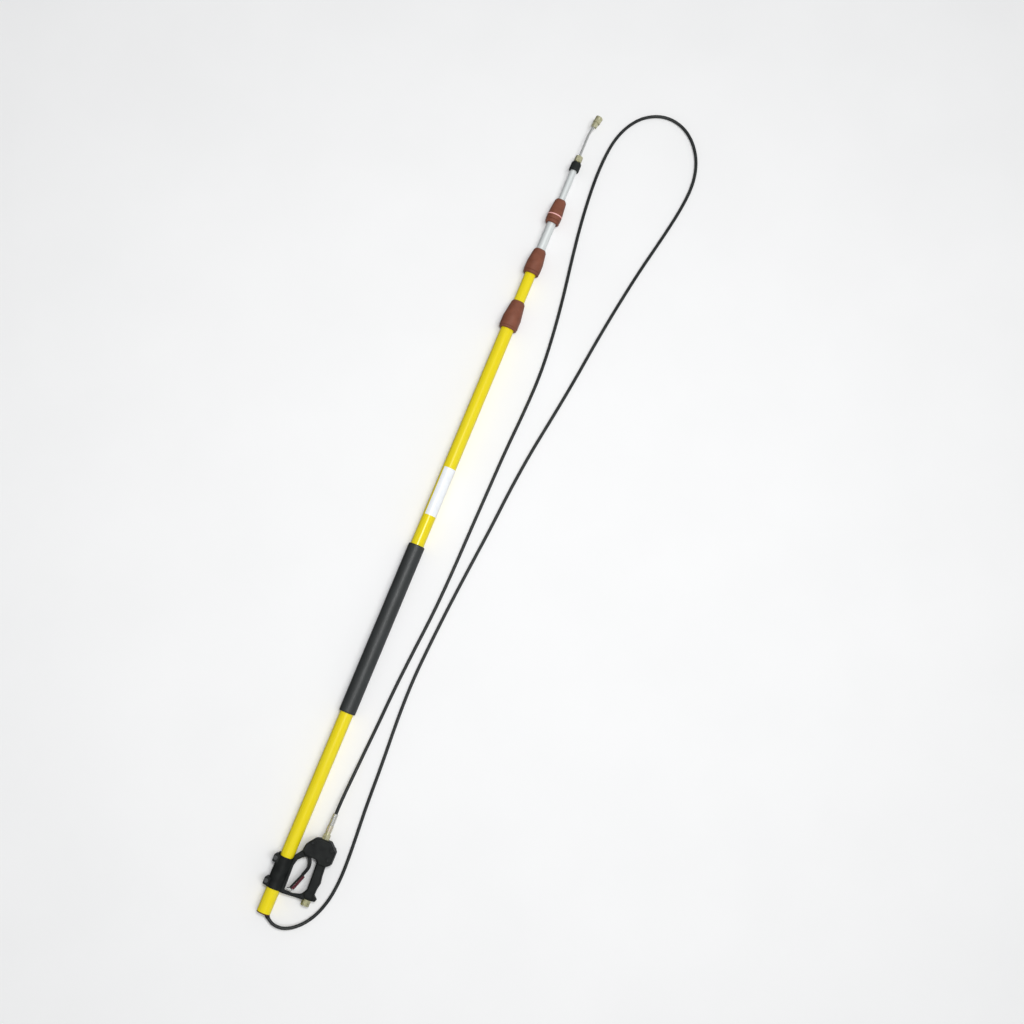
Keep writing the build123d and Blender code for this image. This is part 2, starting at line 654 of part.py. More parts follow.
def gun_shell(side):
    """One moulded half of the gun and of its pole clamp: side is 1 above the axis, -1 below."""
    down = -side
    loop = (LOOP_OUTLINE, LOOP_ROUNDS)
    frame = slab(FRAME_OUTLINE, FRAME_ROUNDS, ARM_HALF, 2.4, side, loop)
    handle = slab(HANDLE_OUTLINE, HANDLE_ROUNDS, HANDLE_HALF, 6.0, side)
    head = slab(HEAD_OUTLINE, HEAD_ROUNDS, HEAD_HALF, 4.0, side)
    with BuildPart() as shell:
        # The frame round the finger opening, the handle for the palm, and the valve's head.
        add([frame, handle, head])
        # The half clamp and its two bolt ears.
        with BuildSketch(across(CLAMP_START)):
            Circle(CLAMP_RADIUS)
        extrude(amount=CLAMP_END - CLAMP_START)
        for along in EAR_PLACES:
            with BuildSketch(GUN):
                with Locations((along, -EAR_REACH / 2 - 5)):
                    RectangleRounded(EAR_WIDTH, EAR_REACH - 10, 3.5)
            extrude(amount=down * EAR_HALF)
        with BuildSketch(GUN):
            with Locations(*HEAD_SCREWS):
                Circle(BOSS_RADIUS)
        extrude(amount=down * BOSS_HALF)
        # What is cut away: everything past the split, the pole, the bolt and screw holes.
        with BuildSketch(GUN):
            Rectangle(900, 900)
        extrude(amount=side * 60, mode=Mode.SUBTRACT)
        with BuildSketch(across(CLAMP_START - 10)):
            Circle(tube_radius(0))
        extrude(amount=CLAMP_END - CLAMP_START + 40, mode=Mode.SUBTRACT)
        # The clamp's rim is scooped out over the pole and leaves a lug on either side.
        with BuildSketch(GUN):
            with Locations((SCOOP_START + SCOOP_LENGTH / 2, 0)):
                RectangleRounded(SCOOP_LENGTH, SCOOP_WIDTH, SCOOP_ROUND)
        extrude(amount=down * CLAMP_RADIUS, mode=Mode.SUBTRACT)
        with BuildSketch(GUN):
            with Locations(*[(along, BOLT_OUT) for along in EAR_PLACES]):
                Circle(BOLT_RADIUS)
        extrude(amount=down * 40, mode=Mode.SUBTRACT)
        with BuildSketch(GUN):
            with Locations(*HEAD_SCREWS, *ARM_SCREWS):
                Circle(SCREW_RADIUS)
        extrude(amount=down * (40 if side > 0 else SCREW_GRIP), mode=Mode.SUBTRACT)
        if side > 0:
            for places, top in ((HEAD_SCREWS, BOSS_HALF), (ARM_SCREWS, ARM_HALF)):
                with BuildSketch(GUN.offset(-top)):
                    with Locations(*places):
                        Circle(SCREW_HEAD_RADIUS)
                extrude(amount=SCREW_HEAD, mode=Mode.SUBTRACT)
        # Room for the pipe, the valve block, the outlet, the trigger and its pin.
        with BuildSketch(across(INLET_START, INLET_OUT)):
            Circle(INLET_RADIUS)
        extrude(amount=INLET_END - INLET_START, mode=Mode.SUBTRACT)
        with BuildSketch(across(INLET_START, INLET_OUT)):
            Circle(PIPE_RADIUS)
        extrude(amount=BLOCK_START - INLET_START, mode=Mode.SUBTRACT)
        with BuildSketch(GUN):
            with Locations(((BLOCK_START + BLOCK_END) / 2, (BLOCK_NEAR + BLOCK_FAR) / 2)):
                Rectangle(BLOCK_END - BLOCK_START, BLOCK_FAR - BLOCK_NEAR)
        extrude(amount=down * BLOCK_HALF, mode=Mode.SUBTRACT)
        with BuildSketch(across(BLOCK_END, OUTLET_OUT)):
            Circle(CHAMBER_RADIUS)
        extrude(amount=20, mode=Mode.SUBTRACT)
        with BuildSketch(GUN):
            with Locations(
                (
                    (TRIGGER_POCKET_START + TRIGGER_POCKET_END) / 2,
                    (TRIGGER_POCKET_NEAR + TRIGGER_POCKET_FAR) / 2,
                )
            ):
                Rectangle(
                    TRIGGER_POCKET_END - TRIGGER_POCKET_START,
                    TRIGGER_POCKET_FAR - TRIGGER_POCKET_NEAR,
                )
        extrude(amount=down * (TRIGGER_HALF + 0.5), mode=Mode.SUBTRACT)
        with BuildSketch(GUN):
            with Locations((PIVOT_ALONG, PIVOT_OUT)):
                Circle(PIVOT_RADIUS)
        extrude(amount=down * 16, mode=Mode.SUBTRACT)
    return shell


save(gun_shell(1), "gun_shell_upper")
save(gun_shell(-1), "gun_shell_lower")

# ---- Gun fasteners --------------------------------------------------------------------------

with BuildPart() as shell_screws:
    for places, top in ((HEAD_SCREWS, BOSS_HALF), (ARM_SCREWS, ARM_HALF)):
        with BuildSketch(GUN.offset(SCREW_GRIP)):
            with Locations(*places):
                Circle(SCREW_RADIUS)
        extrude(amount=-(SCREW_GRIP + top - SCREW_HEAD))
        with BuildSketch(GUN.offset(SCREW_HEAD - top)):
            with Locations(*places):
                Circle(SCREW_HEAD_RADIUS)
        extrude(amount=-(SCREW_HEAD - 0.4))
        with BuildSketch(GUN.offset(0.4 - top)):
            with Locations(*places):
                RegularPolygon(1.5, 6, major_radius=False)
        extrude(amount=1.6, mode=Mode.SUBTRACT)
save(shell_screws, "shell_screws")

bolt_places = [(along, BOLT_OUT) for along in EAR_PLACES]
bolt_end = AXIS_Z - 0.2
with BuildPart() as clamp_bolts:
    with BuildSketch(GUN.offset(-EAR_HALF - WASHER_THICK)):
        with Locations(*bolt_places):
            Circle(BOLT_RADIUS)
    extrude(amount=EAR_HALF + WASHER_THICK + bolt_end)
    with BuildSketch(GUN.offset(-EAR_HALF - WASHER_THICK)):
        with Locations(*bolt_places):
            Circle(BOLT_HEAD_RADIUS)
    extrude(amount=-BOLT_HEAD)
    with BuildSketch(GUN.offset(-EAR_HALF - WASHER_THICK - BOLT_HEAD)):
        with Locations(*bolt_places):
            RegularPolygon(2.5, 6, major_radius=False)
    extrude(amount=3.2, mode=Mode.SUBTRACT)
    fillet(rims(clamp_bolts, BOLT_HEAD_RADIUS - 0.1).group_by(Axis.Z)[-1], 0.6)
save(clamp_bolts, "clamp_bolts")

with BuildPart() as clamp_washers:
    for height in (EAR_HALF, -EAR_HALF - WASHER_THICK):
        with BuildSketch(GUN.offset(height)):
            with Locations(*bolt_places):
                Circle(WASHER_RADIUS)
            with Locations(*bolt_places):
                Circle(BOLT_RADIUS, mode=Mode.SUBTRACT)
        extrude(amount=WASHER_THICK)
save(clamp_washers, "clamp_washers")

with BuildPart() as clamp_nuts:
    with BuildSketch(GUN.offset(EAR_HALF + WASHER_THICK)):
        with Locations(*bolt_places):
            RegularPolygon(CLAMP_NUT_FLATS / 2, 6, major_radius=False)
        with Locations(*bolt_places):
            Circle(BOLT_RADIUS, mode=Mode.SUBTRACT)
    extrude(amount=CLAMP_NUT)
save(clamp_nuts, "clamp_nuts")

# ---- Valve and water way --------------------------------------------------------------------

with BuildPart() as inlet_fitting:
    with BuildSketch(across(INLET_START, INLET_OUT)):
        Circle(INLET_RADIUS)
    extrude(amount=6.5)
    with BuildSketch(across(INLET_START + 6.5, INLET_OUT)):
        RegularPolygon(INLET_RADIUS * 0.86, 6, major_radius=False)
    extrude(amount=7.5)
    with BuildSketch(across(INLET_START + 14, INLET_OUT)):
        Circle(INLET_RADIUS)
    extrude(amount=INLET_END - INLET_START - 14)
    mouth = inlet_fitting.edges().filter_by(GeomType.CIRCLE).sort_by(Axis.X)[0]
    chamfer(mouth, 0.8)
    with BuildSketch(across(INLET_START, INLET_OUT)):
        Circle(INLET_BORE)
    extrude(amount=INLET_BORE_DEPTH, mode=Mode.SUBTRACT)
    with BuildSketch(across(INLET_START, INLET_OUT)):
        Circle(PIPE_BORE)
    extrude(amount=INLET_END - INLET_START, mode=Mode.SUBTRACT)
save(inlet_fitting, "inlet_fitting")

PIPE_THREAD = 8.0
with BuildPart() as inlet_pipe:
    with BuildSketch(across(INLET_END, INLET_OUT)):
        Circle(PIPE_RADIUS)
        Circle(PIPE_BORE, mode=Mode.SUBTRACT)
    extrude(amount=BLOCK_START + PIPE_THREAD - INLET_END)
save(inlet_pipe, "inlet_pipe")

O_RING_START, O_RING_WIDTH, O_RING_RADIUS = 205.0, 1.6, 4.1
CROSS_PLACE, CROSS_RADIUS = 208.4, 1.2
with BuildPart() as valve_block:
    with BuildSketch(GUN.offset(-BLOCK_HALF)):
        with Locations(((BLOCK_START + BLOCK_END) / 2, (BLOCK_NEAR + BLOCK_FAR) / 2)):
            Rectangle(BLOCK_END - BLOCK_START, BLOCK_FAR - BLOCK_NEAR)
    extrude(amount=2 * BLOCK_HALF)
    chamfer(valve_block.edges().filter_by(Axis.Z), 1.0)
    with BuildSketch(across(BLOCK_START, INLET_OUT)):
        Circle(PIPE_RADIUS)
    extrude(amount=PIPE_THREAD, mode=Mode.SUBTRACT)
    with BuildSketch(across(BLOCK_START, OUTLET_OUT)):
        Circle(PIN_RADIUS + RUNNING)
    extrude(amount=CHAMBER_START - BLOCK_START, mode=Mode.SUBTRACT)
    with BuildSketch(across(O_RING_START, OUTLET_OUT)):
        Circle(O_RING_RADIUS)
    extrude(amount=O_RING_WIDTH, mode=Mode.SUBTRACT)
    with BuildSketch(across(CHAMBER_START, OUTLET_OUT)):
        Circle(CHAMBER_RADIUS)
    extrude(amount=BLOCK_END - CHAMBER_START, mode=Mode.SUBTRACT)
    cross_foot = (BUTT_X + CROSS_PLACE, AXIS_Y - OUTLET_OUT, AXIS_Z)
    with BuildSketch(Plane(origin=cross_foot, x_dir=(1, 0, 0), z_dir=(0, -1, 0))):
        Circle(CROSS_RADIUS)
    extrude(amount=INLET_OUT - OUTLET_OUT, mode=Mode.SUBTRACT)
save(valve_block, "valve_block")

with BuildPart() as valve_o_ring:
    with BuildSketch(across(O_RING_START, OUTLET_OUT)):
        Circle(O_RING_RADIUS)
        Circle(PIN_RADIUS + RUNNING, mode=Mode.SUBTRACT)
    extrude(amount=O_RING_WIDTH)
save(valve_o_ring, "valve_o_ring")

with BuildPart() as valve_seat:
    with BuildSketch(across(CHAMBER_START, OUTLET_OUT)):
        Circle(CHAMBER_RADIUS)
        Circle(SEAT_BORE, mode=Mode.SUBTRACT)
    extrude(amount=SEAT_THICK)
save(valve_seat, "valve_seat")

ball_place = CHAMBER_START + SEAT_THICK + math.sqrt(VALVE_BALL_RADIUS**2 - SEAT_BORE**2) + 0.02
with BuildPart() as valve_ball:
    with Locations(across(ball_place, OUTLET_OUT)):
        Sphere(VALVE_BALL_RADIUS)
save(valve_ball, "valve_ball")

pin_start = PIVOT_ALONG + NOSE_RADIUS + NOSE_GAP
pin_end = ball_place - VALVE_BALL_RADIUS - 0.02
with BuildPart() as valve_pin:
    with BuildSketch(across(pin_start, OUTLET_OUT)):
        Circle(PIN_RADIUS)
    extrude(amount=pin_end - pin_start)
    chamfer(valve_pin.edges().filter_by(GeomType.CIRCLE).sort_by(Axis.X)[-1], 0.4)
save(valve_pin, "valve_pin")

valve_spring_start = across(ball_place + VALVE_BALL_RADIUS + 0.1, OUTLET_OUT).origin
valve_spring_length = STEM_START - ball_place - VALVE_BALL_RADIUS - 0.2
valve_spring = coil(valve_spring_start, valve_spring_length, 4.6, 0.45, 4, Vector(1, 0, 0))
save(valve_spring, "valve_spring")

STEM_BORE = 3.0
with BuildPart() as outlet_fitting:
    with BuildSketch(across(STEM_START, OUTLET_OUT)):
        Circle(CHAMBER_RADIUS)
    extrude(amount=OUTLET_HEX_START - STEM_START)
    with BuildSketch(across(OUTLET_HEX_START, OUTLET_OUT)):
        RegularPolygon(OUTLET_FLATS / 2, 6, major_radius=False, rotation=30)
    extrude(amount=OUTLET_HEX_END - OUTLET_HEX_START)
    with BuildSketch(across(OUTLET_HEX_END, OUTLET_OUT)):
        Circle(7.0)
    extrude(amount=OUTLET_END - OUTLET_HEX_END)
    with BuildSketch(across(STEM_START, OUTLET_OUT)):
        Circle(STEM_BORE)
    extrude(amount=OUTLET_END - STEM_START, mode=Mode.SUBTRACT)
    chamfer(outlet_fitting.edges().filter_by(GeomType.CIRCLE).sort_by(Axis.X)[-1], 0.5)
save(outlet_fitting, "outlet_fitting")

with BuildPart() as hose_swivel_nut:
    with BuildSketch(across(OUTLET_END, OUTLET_OUT)):
        Circle(SWIVEL_RADIUS)
        Circle(STEM_BORE, mode=Mode.SUBTRACT)
    extrude(amount=SWIVEL_END - OUTLET_END)
    chamfer(rims(hose_swivel_nut, STEM_BORE + 1), 0.9)
save(hose_swivel_nut, "hose_swivel_nut")

CRIMP_STEP = 6.0
with BuildPart() as hose_ferrule:
    with BuildSketch(across(SWIVEL_END, OUTLET_OUT)):
        Circle(FERRULE_RADIUS)
        Circle(STEM_BORE, mode=Mode.SUBTRACT)
    extrude(amount=FERRULE_END - SWIVEL_END)
    chamfer(rims(hose_ferrule, STEM_BORE + 1), 0.7)
    for step in range(1, 5):
        with BuildSketch(across(SWIVEL_END + step * CRIMP_STEP, OUTLET_OUT)):
            Circle(FERRULE_RADIUS + 1)
            Circle(FERRULE_RADIUS - 0.5, mode=Mode.SUBTRACT)
        extrude(amount=1.6, mode=Mode.SUBTRACT)
save(hose_ferrule, "hose_ferrule")

# ---- Trigger and safety latch ---------------------------------------------------------------

TRIGGER_LINE = [
    (133.0, 58.8),
    (146.7, 63.6),
    (156.6, 65.8),
    (165.7, 65.2),
    (172.4, 63.0),
    (178.9, 59.8),
    (187.0, 53.5),
]
TRIGGER_TAIL_LINE = [(88.1, 40.7), (102.6, 46.0), (116.0, 51.6), (136.6, 59.4)]
FOOT_START, FOOT_END, FOOT_NEAR, FOOT_FAR = 82.4, 87.4, 32.0, 47.0
latch_turn = math.radians(LATCH_ANGLE)
LUG_RADIUS, EYE_HALF, FORK_RADIUS = 3.6, 2.9, 10.6


def foot(inset=0.0):
    """The plan of the crosspiece at the trigger's tip, drawn in from every side."""
    middle = ((FOOT_START + FOOT_END) / 2, (FOOT_NEAR + FOOT_FAR) / 2)
    with Locations(middle):
        RectangleRounded(
            FOOT_END - FOOT_START - 2 * inset, FOOT_FAR - FOOT_NEAR - 2 * inset, 1.2 - inset / 2
        )


with BuildPart() as trigger:
    with BuildSketch(GUN.offset(-TRIGGER_HALF)):
        with BuildLine():
            Spline(*TRIGGER_LINE)
        trace(line_width=TRIGGER_THICK)
        with BuildLine():
            Spline(*TRIGGER_TAIL_LINE)
        trace(line_width=TRIGGER_TAIL_THICK)
        with Locations((PIVOT_ALONG, PIVOT_OUT)):
            Circle(6.5)
        with BuildLine():
            Polyline((PIVOT_ALONG, PIVOT_OUT), (PIVOT_ALONG, OUTLET_OUT))
        trace(line_width=2 * NOSE_RADIUS)
        with BuildLine():
            Polyline(TRIGGER_LINE[-1], (PIVOT_ALONG, PIVOT_OUT))
        trace(line_width=TRIGGER_THICK)
        with Locations((LATCH_ALONG, LATCH_OUT)):
            Circle(LUG_RADIUS)
        foot()
    extrude(amount=2 * TRIGGER_HALF)
    with BuildSketch(GUN.offset(-TRIGGER_HALF)):
        with Locations((PIVOT_ALONG, PIVOT_OUT)):
            Circle(PIVOT_RADIUS + RUNNING)
        with Locations((LATCH_ALONG, LATCH_OUT)):
            Circle(LATCH_PIN_RADIUS)
    extrude(amount=2 * TRIGGER_HALF, mode=Mode.SUBTRACT)
    # The slot that makes the tip a fork, for the latch's eye to turn in.
    with BuildSketch(GUN.offset(-EYE_HALF - 0.2)):
        with Locations((LATCH_ALONG, LATCH_OUT)):
            Circle(FORK_RADIUS)
    extrude(amount=2 * EYE_HALF + 0.4, mode=Mode.SUBTRACT)
save(trigger, "trigger")

with BuildPart() as trigger_pin:
    with BuildSketch(GUN.offset(-16)):
        with Locations((PIVOT_ALONG, PIVOT_OUT)):
            Circle(PIVOT_RADIUS)
    extrude(amount=32)
save(trigger_pin, "trigger_pin")

LATCH = Plane(
    origin=GUN.from_local_coords((LATCH_ALONG, LATCH_OUT, 0)),
    x_dir=(math.cos(latch_turn), -math.sin(latch_turn), 0),
    z_dir=(0, 0, -1),
)
LATCH_PLATE_START, LATCH_NEAR = 6.4, 2.3

with BuildPart() as trigger_latch:
    with BuildSketch(LATCH.offset(-EYE_HALF)):
        Circle(3.2)
        with Locations((4.5, 2.4)):
            Rectangle(9, 4)
        Circle(LATCH_PIN_RADIUS + RUNNING, mode=Mode.SUBTRACT)
    extrude(amount=2 * EYE_HALF)
    with BuildSketch(LATCH.offset(-LATCH_HALF)):
        with BuildLine():
            Polyline(
                (LATCH_PLATE_START, LATCH_NEAR),
                (LATCH_LENGTH - 1, LATCH_NEAR),
                (LATCH_LENGTH, LATCH_NEAR + 1.5),
                (LATCH_LENGTH - 1.5, LATCH_NEAR + LATCH_THICK - 1),
                (LATCH_PLATE_START, LATCH_NEAR + LATCH_THICK),
                (LATCH_PLATE_START - 1.8, LATCH_NEAR + LATCH_THICK - 1.5),
                close=True,
            )
        make_face()
    extrude(amount=2 * LATCH_HALF)
save(trigger_latch, "trigger_latch")

with BuildPart() as latch_pin:
    with BuildSketch(GUN.offset(-TRIGGER_HALF - 0.8)):
        with Locations((LATCH_ALONG, LATCH_OUT)):
            Circle(LATCH_PIN_RADIUS)
    extrude(amount=2 * TRIGGER_HALF + 1.6)
    for height in (-TRIGGER_HALF - 0.8, TRIGGER_HALF):
        with BuildSketch(GUN.offset(height)):
            with Locations((LATCH_ALONG, LATCH_OUT)):
                Circle(2.8)
            foot(0.4)
        extrude(amount=0.8)
save(latch_pin, "latch_pin")

# ---- Hoses ----------------------------------------------------------------------------------

with BuildPart() as inner_hose:
    with BuildSketch(across(INNER_HOSE_START)):
        Circle(HOSE_RADIUS)
        Circle(HOSE_BORE, mode=Mode.SUBTRACT)
    extrude(amount=INNER_HOSE_END - INNER_HOSE_START)
save(inner_hose, "inner_hose")

# The route: along, out and height above the ground, from the ferrule to the grommet.
HOSE_ROUTE = [
    (FERRULE_END, OUTLET_OUT, AXIS_Z),
    (350.0, OUTLET_OUT, AXIS_Z),
    (392.0, 80.5, 20.5),
    (442.0, 82.5, 11.5),
    (500.0, 85.0, 6.0),
    (575.0, 89.5, HOSE_HEIGHT),
    (680.0, 94.0, HOSE_HEIGHT),
    (795.0, 102.5, HOSE_HEIGHT),
    (920.0, 113.5, HOSE_HEIGHT),
    (1045.0, 118.5, HOSE_HEIGHT),
    (1170.0, 120.5, HOSE_HEIGHT),
    (1290.0, 123.5, HOSE_HEIGHT),
    (1415.0, 126.0, HOSE_HEIGHT),
    (1535.0, 132.5, HOSE_HEIGHT),
    (1655.0, 135.5, HOSE_HEIGHT),
    (1775.0, 126.5, HOSE_HEIGHT),
    (1895.0, 111.5, HOSE_HEIGHT),
    (2010.0, 92.5, HOSE_HEIGHT),
    (2125.0, 76.0, HOSE_HEIGHT),
    (2240.0, 66.0, HOSE_HEIGHT),
    (2325.0, 65.5, HOSE_HEIGHT),
    (2395.0, 73.0, HOSE_HEIGHT),
    (2452.0, 95.0, HOSE_HEIGHT),
    (2495.0, 131.0, HOSE_HEIGHT),
    (2518.0, 184.0, HOSE_HEIGHT),
    (2510.0, 240.0, HOSE_HEIGHT),
    (2477.0, 286.0, HOSE_HEIGHT),
    (2424.0, 320.0, HOSE_HEIGHT),
    (2357.0, 335.5, HOSE_HEIGHT),
    (2275.0, 330.0, HOSE_HEIGHT),
    (2175.0, 312.0, HOSE_HEIGHT),
    (2055.0, 286.5, HOSE_HEIGHT),
    (1930.0, 265.0, HOSE_HEIGHT),
    (1805.0, 246.5, HOSE_HEIGHT),
    (1685.0, 232.0, HOSE_HEIGHT),
    (1565.0, 214.5, HOSE_HEIGHT),
    (1445.0, 195.0, HOSE_HEIGHT),
    (1325.0, 181.0, HOSE_HEIGHT),
    (1200.0, 171.0, HOSE_HEIGHT),
    (1080.0, 158.5, HOSE_HEIGHT),
    (960.0, 147.0, HOSE_HEIGHT),
    (840.0, 138.0, HOSE_HEIGHT),
    (720.0, 131.5, HOSE_HEIGHT),
    (600.0, 134.5, HOSE_HEIGHT),
    (485.0, 141.5, HOSE_HEIGHT),
    (375.0, 145.5, HOSE_HEIGHT),
    (310.0, 149.5, HOSE_HEIGHT),
    (230.0, 155.0, HOSE_HEIGHT),
    (159.0, 157.0, HOSE_HEIGHT),
    (98.0, 150.5, HOSE_HEIGHT),
    (50.5, 135.0, 6.2),
    (16.5, 113.8, 9.6),
    (-6.0, 89.8, 15.0),
    (-17.8, 66.0, 20.8),
    (-18.8, 43.0, 25.3),
    (-12.2, 24.8, AXIS_Z),
]
HOSE_IN_GROMMET = 3.0  # how far along the grommet's axis from the lip's middle the hose ends
hose_last = (
    BUSH_LIP / 2 - HOSE_IN_GROMMET * math.cos(grommet_turn),
    GROMMET_OUT + HOSE_IN_GROMMET * math.sin(grommet_turn),
    AXIS_Z,
)


def arc_radius(before, corner, after):
    """The largest radius that both runs of a corner leave room for."""
    into, away = corner - before, after - corner
    half_turn = math.radians(into.get_angle(away)) / 2
    return 0.45 * min(into.length, away.length) / math.tan(half_turn)


route = [Vector(*place(*point)) for point in [*HOSE_ROUTE, hose_last]]
radii = [arc_radius(*route[n : n + 3]) for n in range(len(route) - 2)]
runs = [(b - a).length for a, b in zip(route, route[1:])]

with BuildPart() as hose:
    with BuildLine() as hose_line:
        FilletPolyline(*route, radius=radii)
    with BuildSketch(Plane(origin=route[0], z_dir=route[1] - route[0])):
        Circle(HOSE_RADIUS)
    sweep()
save(hose, "hose")

hose_length = hose_line.wires()[0].length
section = math.pi * HOSE_RADIUS**2
print("hose radii, mm:", [round(radius) for radius in radii])
print("hose runs, mm:", [round(run) for run in runs])
print("hose length, mm:", round(hose_length, 1))
print("hose volume over section times length:", round(hose.part.volume / section / hose_length, 5))
print("butt end x, pole axis y and z, mm:", round(BUTT_X, 3), round(AXIS_Y, 3), AXIS_Z)
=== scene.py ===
"""The looks of a telescopic high-pressure wash lance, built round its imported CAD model.

Metres. +X runs along the pole from butt to tip, +Y points away from the gun and +Z is up. Places
named along, out and height start at the pole's butt end, at its axis (growing towards the gun)
and at the ground.
"""

import math

import bmesh
import bpy
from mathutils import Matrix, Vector, noise


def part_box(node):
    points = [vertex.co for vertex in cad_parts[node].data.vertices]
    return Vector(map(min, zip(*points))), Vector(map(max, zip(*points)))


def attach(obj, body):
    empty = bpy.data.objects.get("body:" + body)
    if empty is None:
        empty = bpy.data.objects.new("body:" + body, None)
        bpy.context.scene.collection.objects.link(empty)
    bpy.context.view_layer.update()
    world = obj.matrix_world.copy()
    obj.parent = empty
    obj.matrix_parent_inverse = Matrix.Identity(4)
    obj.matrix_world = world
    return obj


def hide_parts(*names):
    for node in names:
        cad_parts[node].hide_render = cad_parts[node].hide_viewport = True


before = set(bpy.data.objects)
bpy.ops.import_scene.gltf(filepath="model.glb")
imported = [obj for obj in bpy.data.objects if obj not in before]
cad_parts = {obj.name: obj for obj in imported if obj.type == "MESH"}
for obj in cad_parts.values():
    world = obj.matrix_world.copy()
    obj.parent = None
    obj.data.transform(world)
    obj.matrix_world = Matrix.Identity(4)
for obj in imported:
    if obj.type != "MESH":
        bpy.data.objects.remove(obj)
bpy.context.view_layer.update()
scene = bpy.context.scene

# ---- Places ---------------------------------------------------------------------------------

MILLIMETRE = 0.001

tube_low, tube_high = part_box("outer_tube")
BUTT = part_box("butt_bush")[0].x
AXIS_Y = (tube_low.y + tube_high.y) / 2
AXIS_Z = (tube_low.z + tube_high.z) / 2
TUBE_RADIUS = (tube_high.z - tube_low.z) / 2
ROD_TURN = math.radians(10)  # how far the coupler's axis turns from the pole's, towards the gun


def place(along, out, height):
    return Vector((BUTT + along, AXIS_Y - out, height))


# ---- Camera ---------------------------------------------------------------------------------

CAMERA_TARGET = place(1.26135, 0.21007, AXIS_Z)
CAMERA_AZIMUTH, CAMERA_ELEVATION = math.radians(-67.898), math.radians(81.82)
CAMERA_DISTANCE = 3.9777
CAMERA_REACH = 100.0  # nothing further than this is drawn
CAMERA_LENS, CAMERA_SENSOR = 50.0, 36.0  # millimetres


def add_camera():
    """The camera, back from its target. From azimuth 0 it would look along +Y."""
    flat = math.cos(CAMERA_ELEVATION)
    back = Vector(
        (
            math.sin(CAMERA_AZIMUTH) * flat,
            -math.cos(CAMERA_AZIMUTH) * flat,
            math.sin(CAMERA_ELEVATION),
        )
    )
    lens = bpy.data.cameras.new("camera")
    lens.lens = CAMERA_LENS
    lens.sensor_width = CAMERA_SENSOR
    lens.clip_end = CAMERA_REACH
    camera = bpy.data.objects.new("camera", lens)
    camera.location = CAMERA_TARGET + back * CAMERA_DISTANCE
    camera.rotation_mode = "QUATERNION"
    camera.rotation_quaternion = (-back).to_track_quat("-Z", "Y")
    scene.collection.objects.link(camera)
    scene.camera = camera


# ---- Light and floor ------------------------------------------------------------------------

LIGHT_AIM = place(1.20, 0.10, 0.0)
SOFTBOX_PLACE = place(1.26, 0.50, 3.9)
SOFTBOX_POWER, SOFTBOX_SIZE = 66.0, 0.6
GLOW_PLACE = LIGHT_AIM + Vector((0.3, -1.5, 4.0))
GLOW_STRENGTH, GLOW_SPREAD = 1.08, math.radians(25)

# The sky's strength on the gun's side, then on the far side. Its lower half is behind the floor,
# which mirrors don't see, so that half only shows in what the pole's flanks mirror.
SKY_ABOVE = (0.40, 0.24)
SKY_BELOW = (0.70, 0.0)
SKY_COLOUR = (0.97, 0.985, 1.0)

FLOOR_SIZE = 80.0
FLOOR_DROP = 0.3 * MILLIMETRE  # under the ground, clear of what lies on it


def add_lamp(name, kind, middle, power, **settings):
    """A lamp at middle that faces the pole."""
    lamp = bpy.data.lights.new(name, kind)
    lamp.energy = power
    for setting, value in settings.items():
        setattr(lamp, setting, value)
    holder = bpy.data.objects.new(name, lamp)
    holder.location = middle
    holder.rotation_mode = "QUATERNION"
    holder.rotation_quaternion = (middle - LIGHT_AIM).to_track_quat("Z", "Y")
    scene.collection.objects.link(holder)
    return holder


def add_lights():
    """A softbox over the pole, and a broad sun that nothing mirrors."""
    add_lamp(
        "softbox", "AREA", SOFTBOX_PLACE, SOFTBOX_POWER, shape="SQUARE", size=SOFTBOX_SIZE
    )
    glow = add_lamp("glow", "SUN", GLOW_PLACE, GLOW_STRENGTH, angle=GLOW_SPREAD)
    glow.visible_glossy = False


def add_sky():
    """A plain pale room, whose strength changes evenly from the gun's side to the far side."""
    world = bpy.data.worlds.new("studio")
    world.use_nodes = True
    tree = world.node_tree
    background = tree.nodes["Background"]
    background.inputs["Color"].default_value = (*SKY_COLOUR, 1.0)
    where = tree.nodes.new("ShaderNodeTexCoord")
    direction = tree.nodes.new("ShaderNodeSeparateXYZ")
    tree.links.new(where.outputs["Generated"], direction.inputs["Vector"])
    halves = tree.nodes.new("ShaderNodeMix")
    for half, (gun_side, far_side) in (("A", SKY_BELOW), ("B", SKY_ABOVE)):
        strength = tree.nodes.new("ShaderNodeMapRange")
        strength.inputs["From Min"].default_value = -1.0
        strength.inputs["To Min"].default_value = gun_side
        strength.inputs["To Max"].default_value = far_side
        tree.links.new(direction.outputs["Y"], strength.inputs["Value"])
        tree.links.new(strength.outputs["Result"], halves.inputs[half])
    upward = tree.nodes.new("ShaderNodeMath")
    upward.operation = "GREATER_THAN"
    slope, horizon = upward.inputs[:2]
    horizon.default_value = 0.0
    tree.links.new(direction.outputs["Z"], slope)
    tree.links.new(upward.outputs["Value"], halves.inputs["Factor"])
    tree.links.new(halves.outputs["Result"], background.inputs["Strength"])
    scene.world = world


def add_floor(material):
    """A plain square floor, which the pieces' polished sides don't mirror."""
    form = bmesh.new()
    half = FLOOR_SIZE / 2
    corners = [(-half, -half), (half, -half), (half, half), (-half, half)]
    form.faces.new([form.verts.new((x, y, -FLOOR_DROP)) for x, y in corners])
    mesh = bpy.data.meshes.new("floor")
    form.to_mesh(mesh)
    form.free()
    floor = bpy.data.objects.new("floor", mesh)
    floor.data.materials.append(material)
    scene.collection.objects.link(floor)
    floor.visible_glossy = False


# ---- Node trees -----------------------------------------------------------------------------

BEVEL_SAMPLES = 6


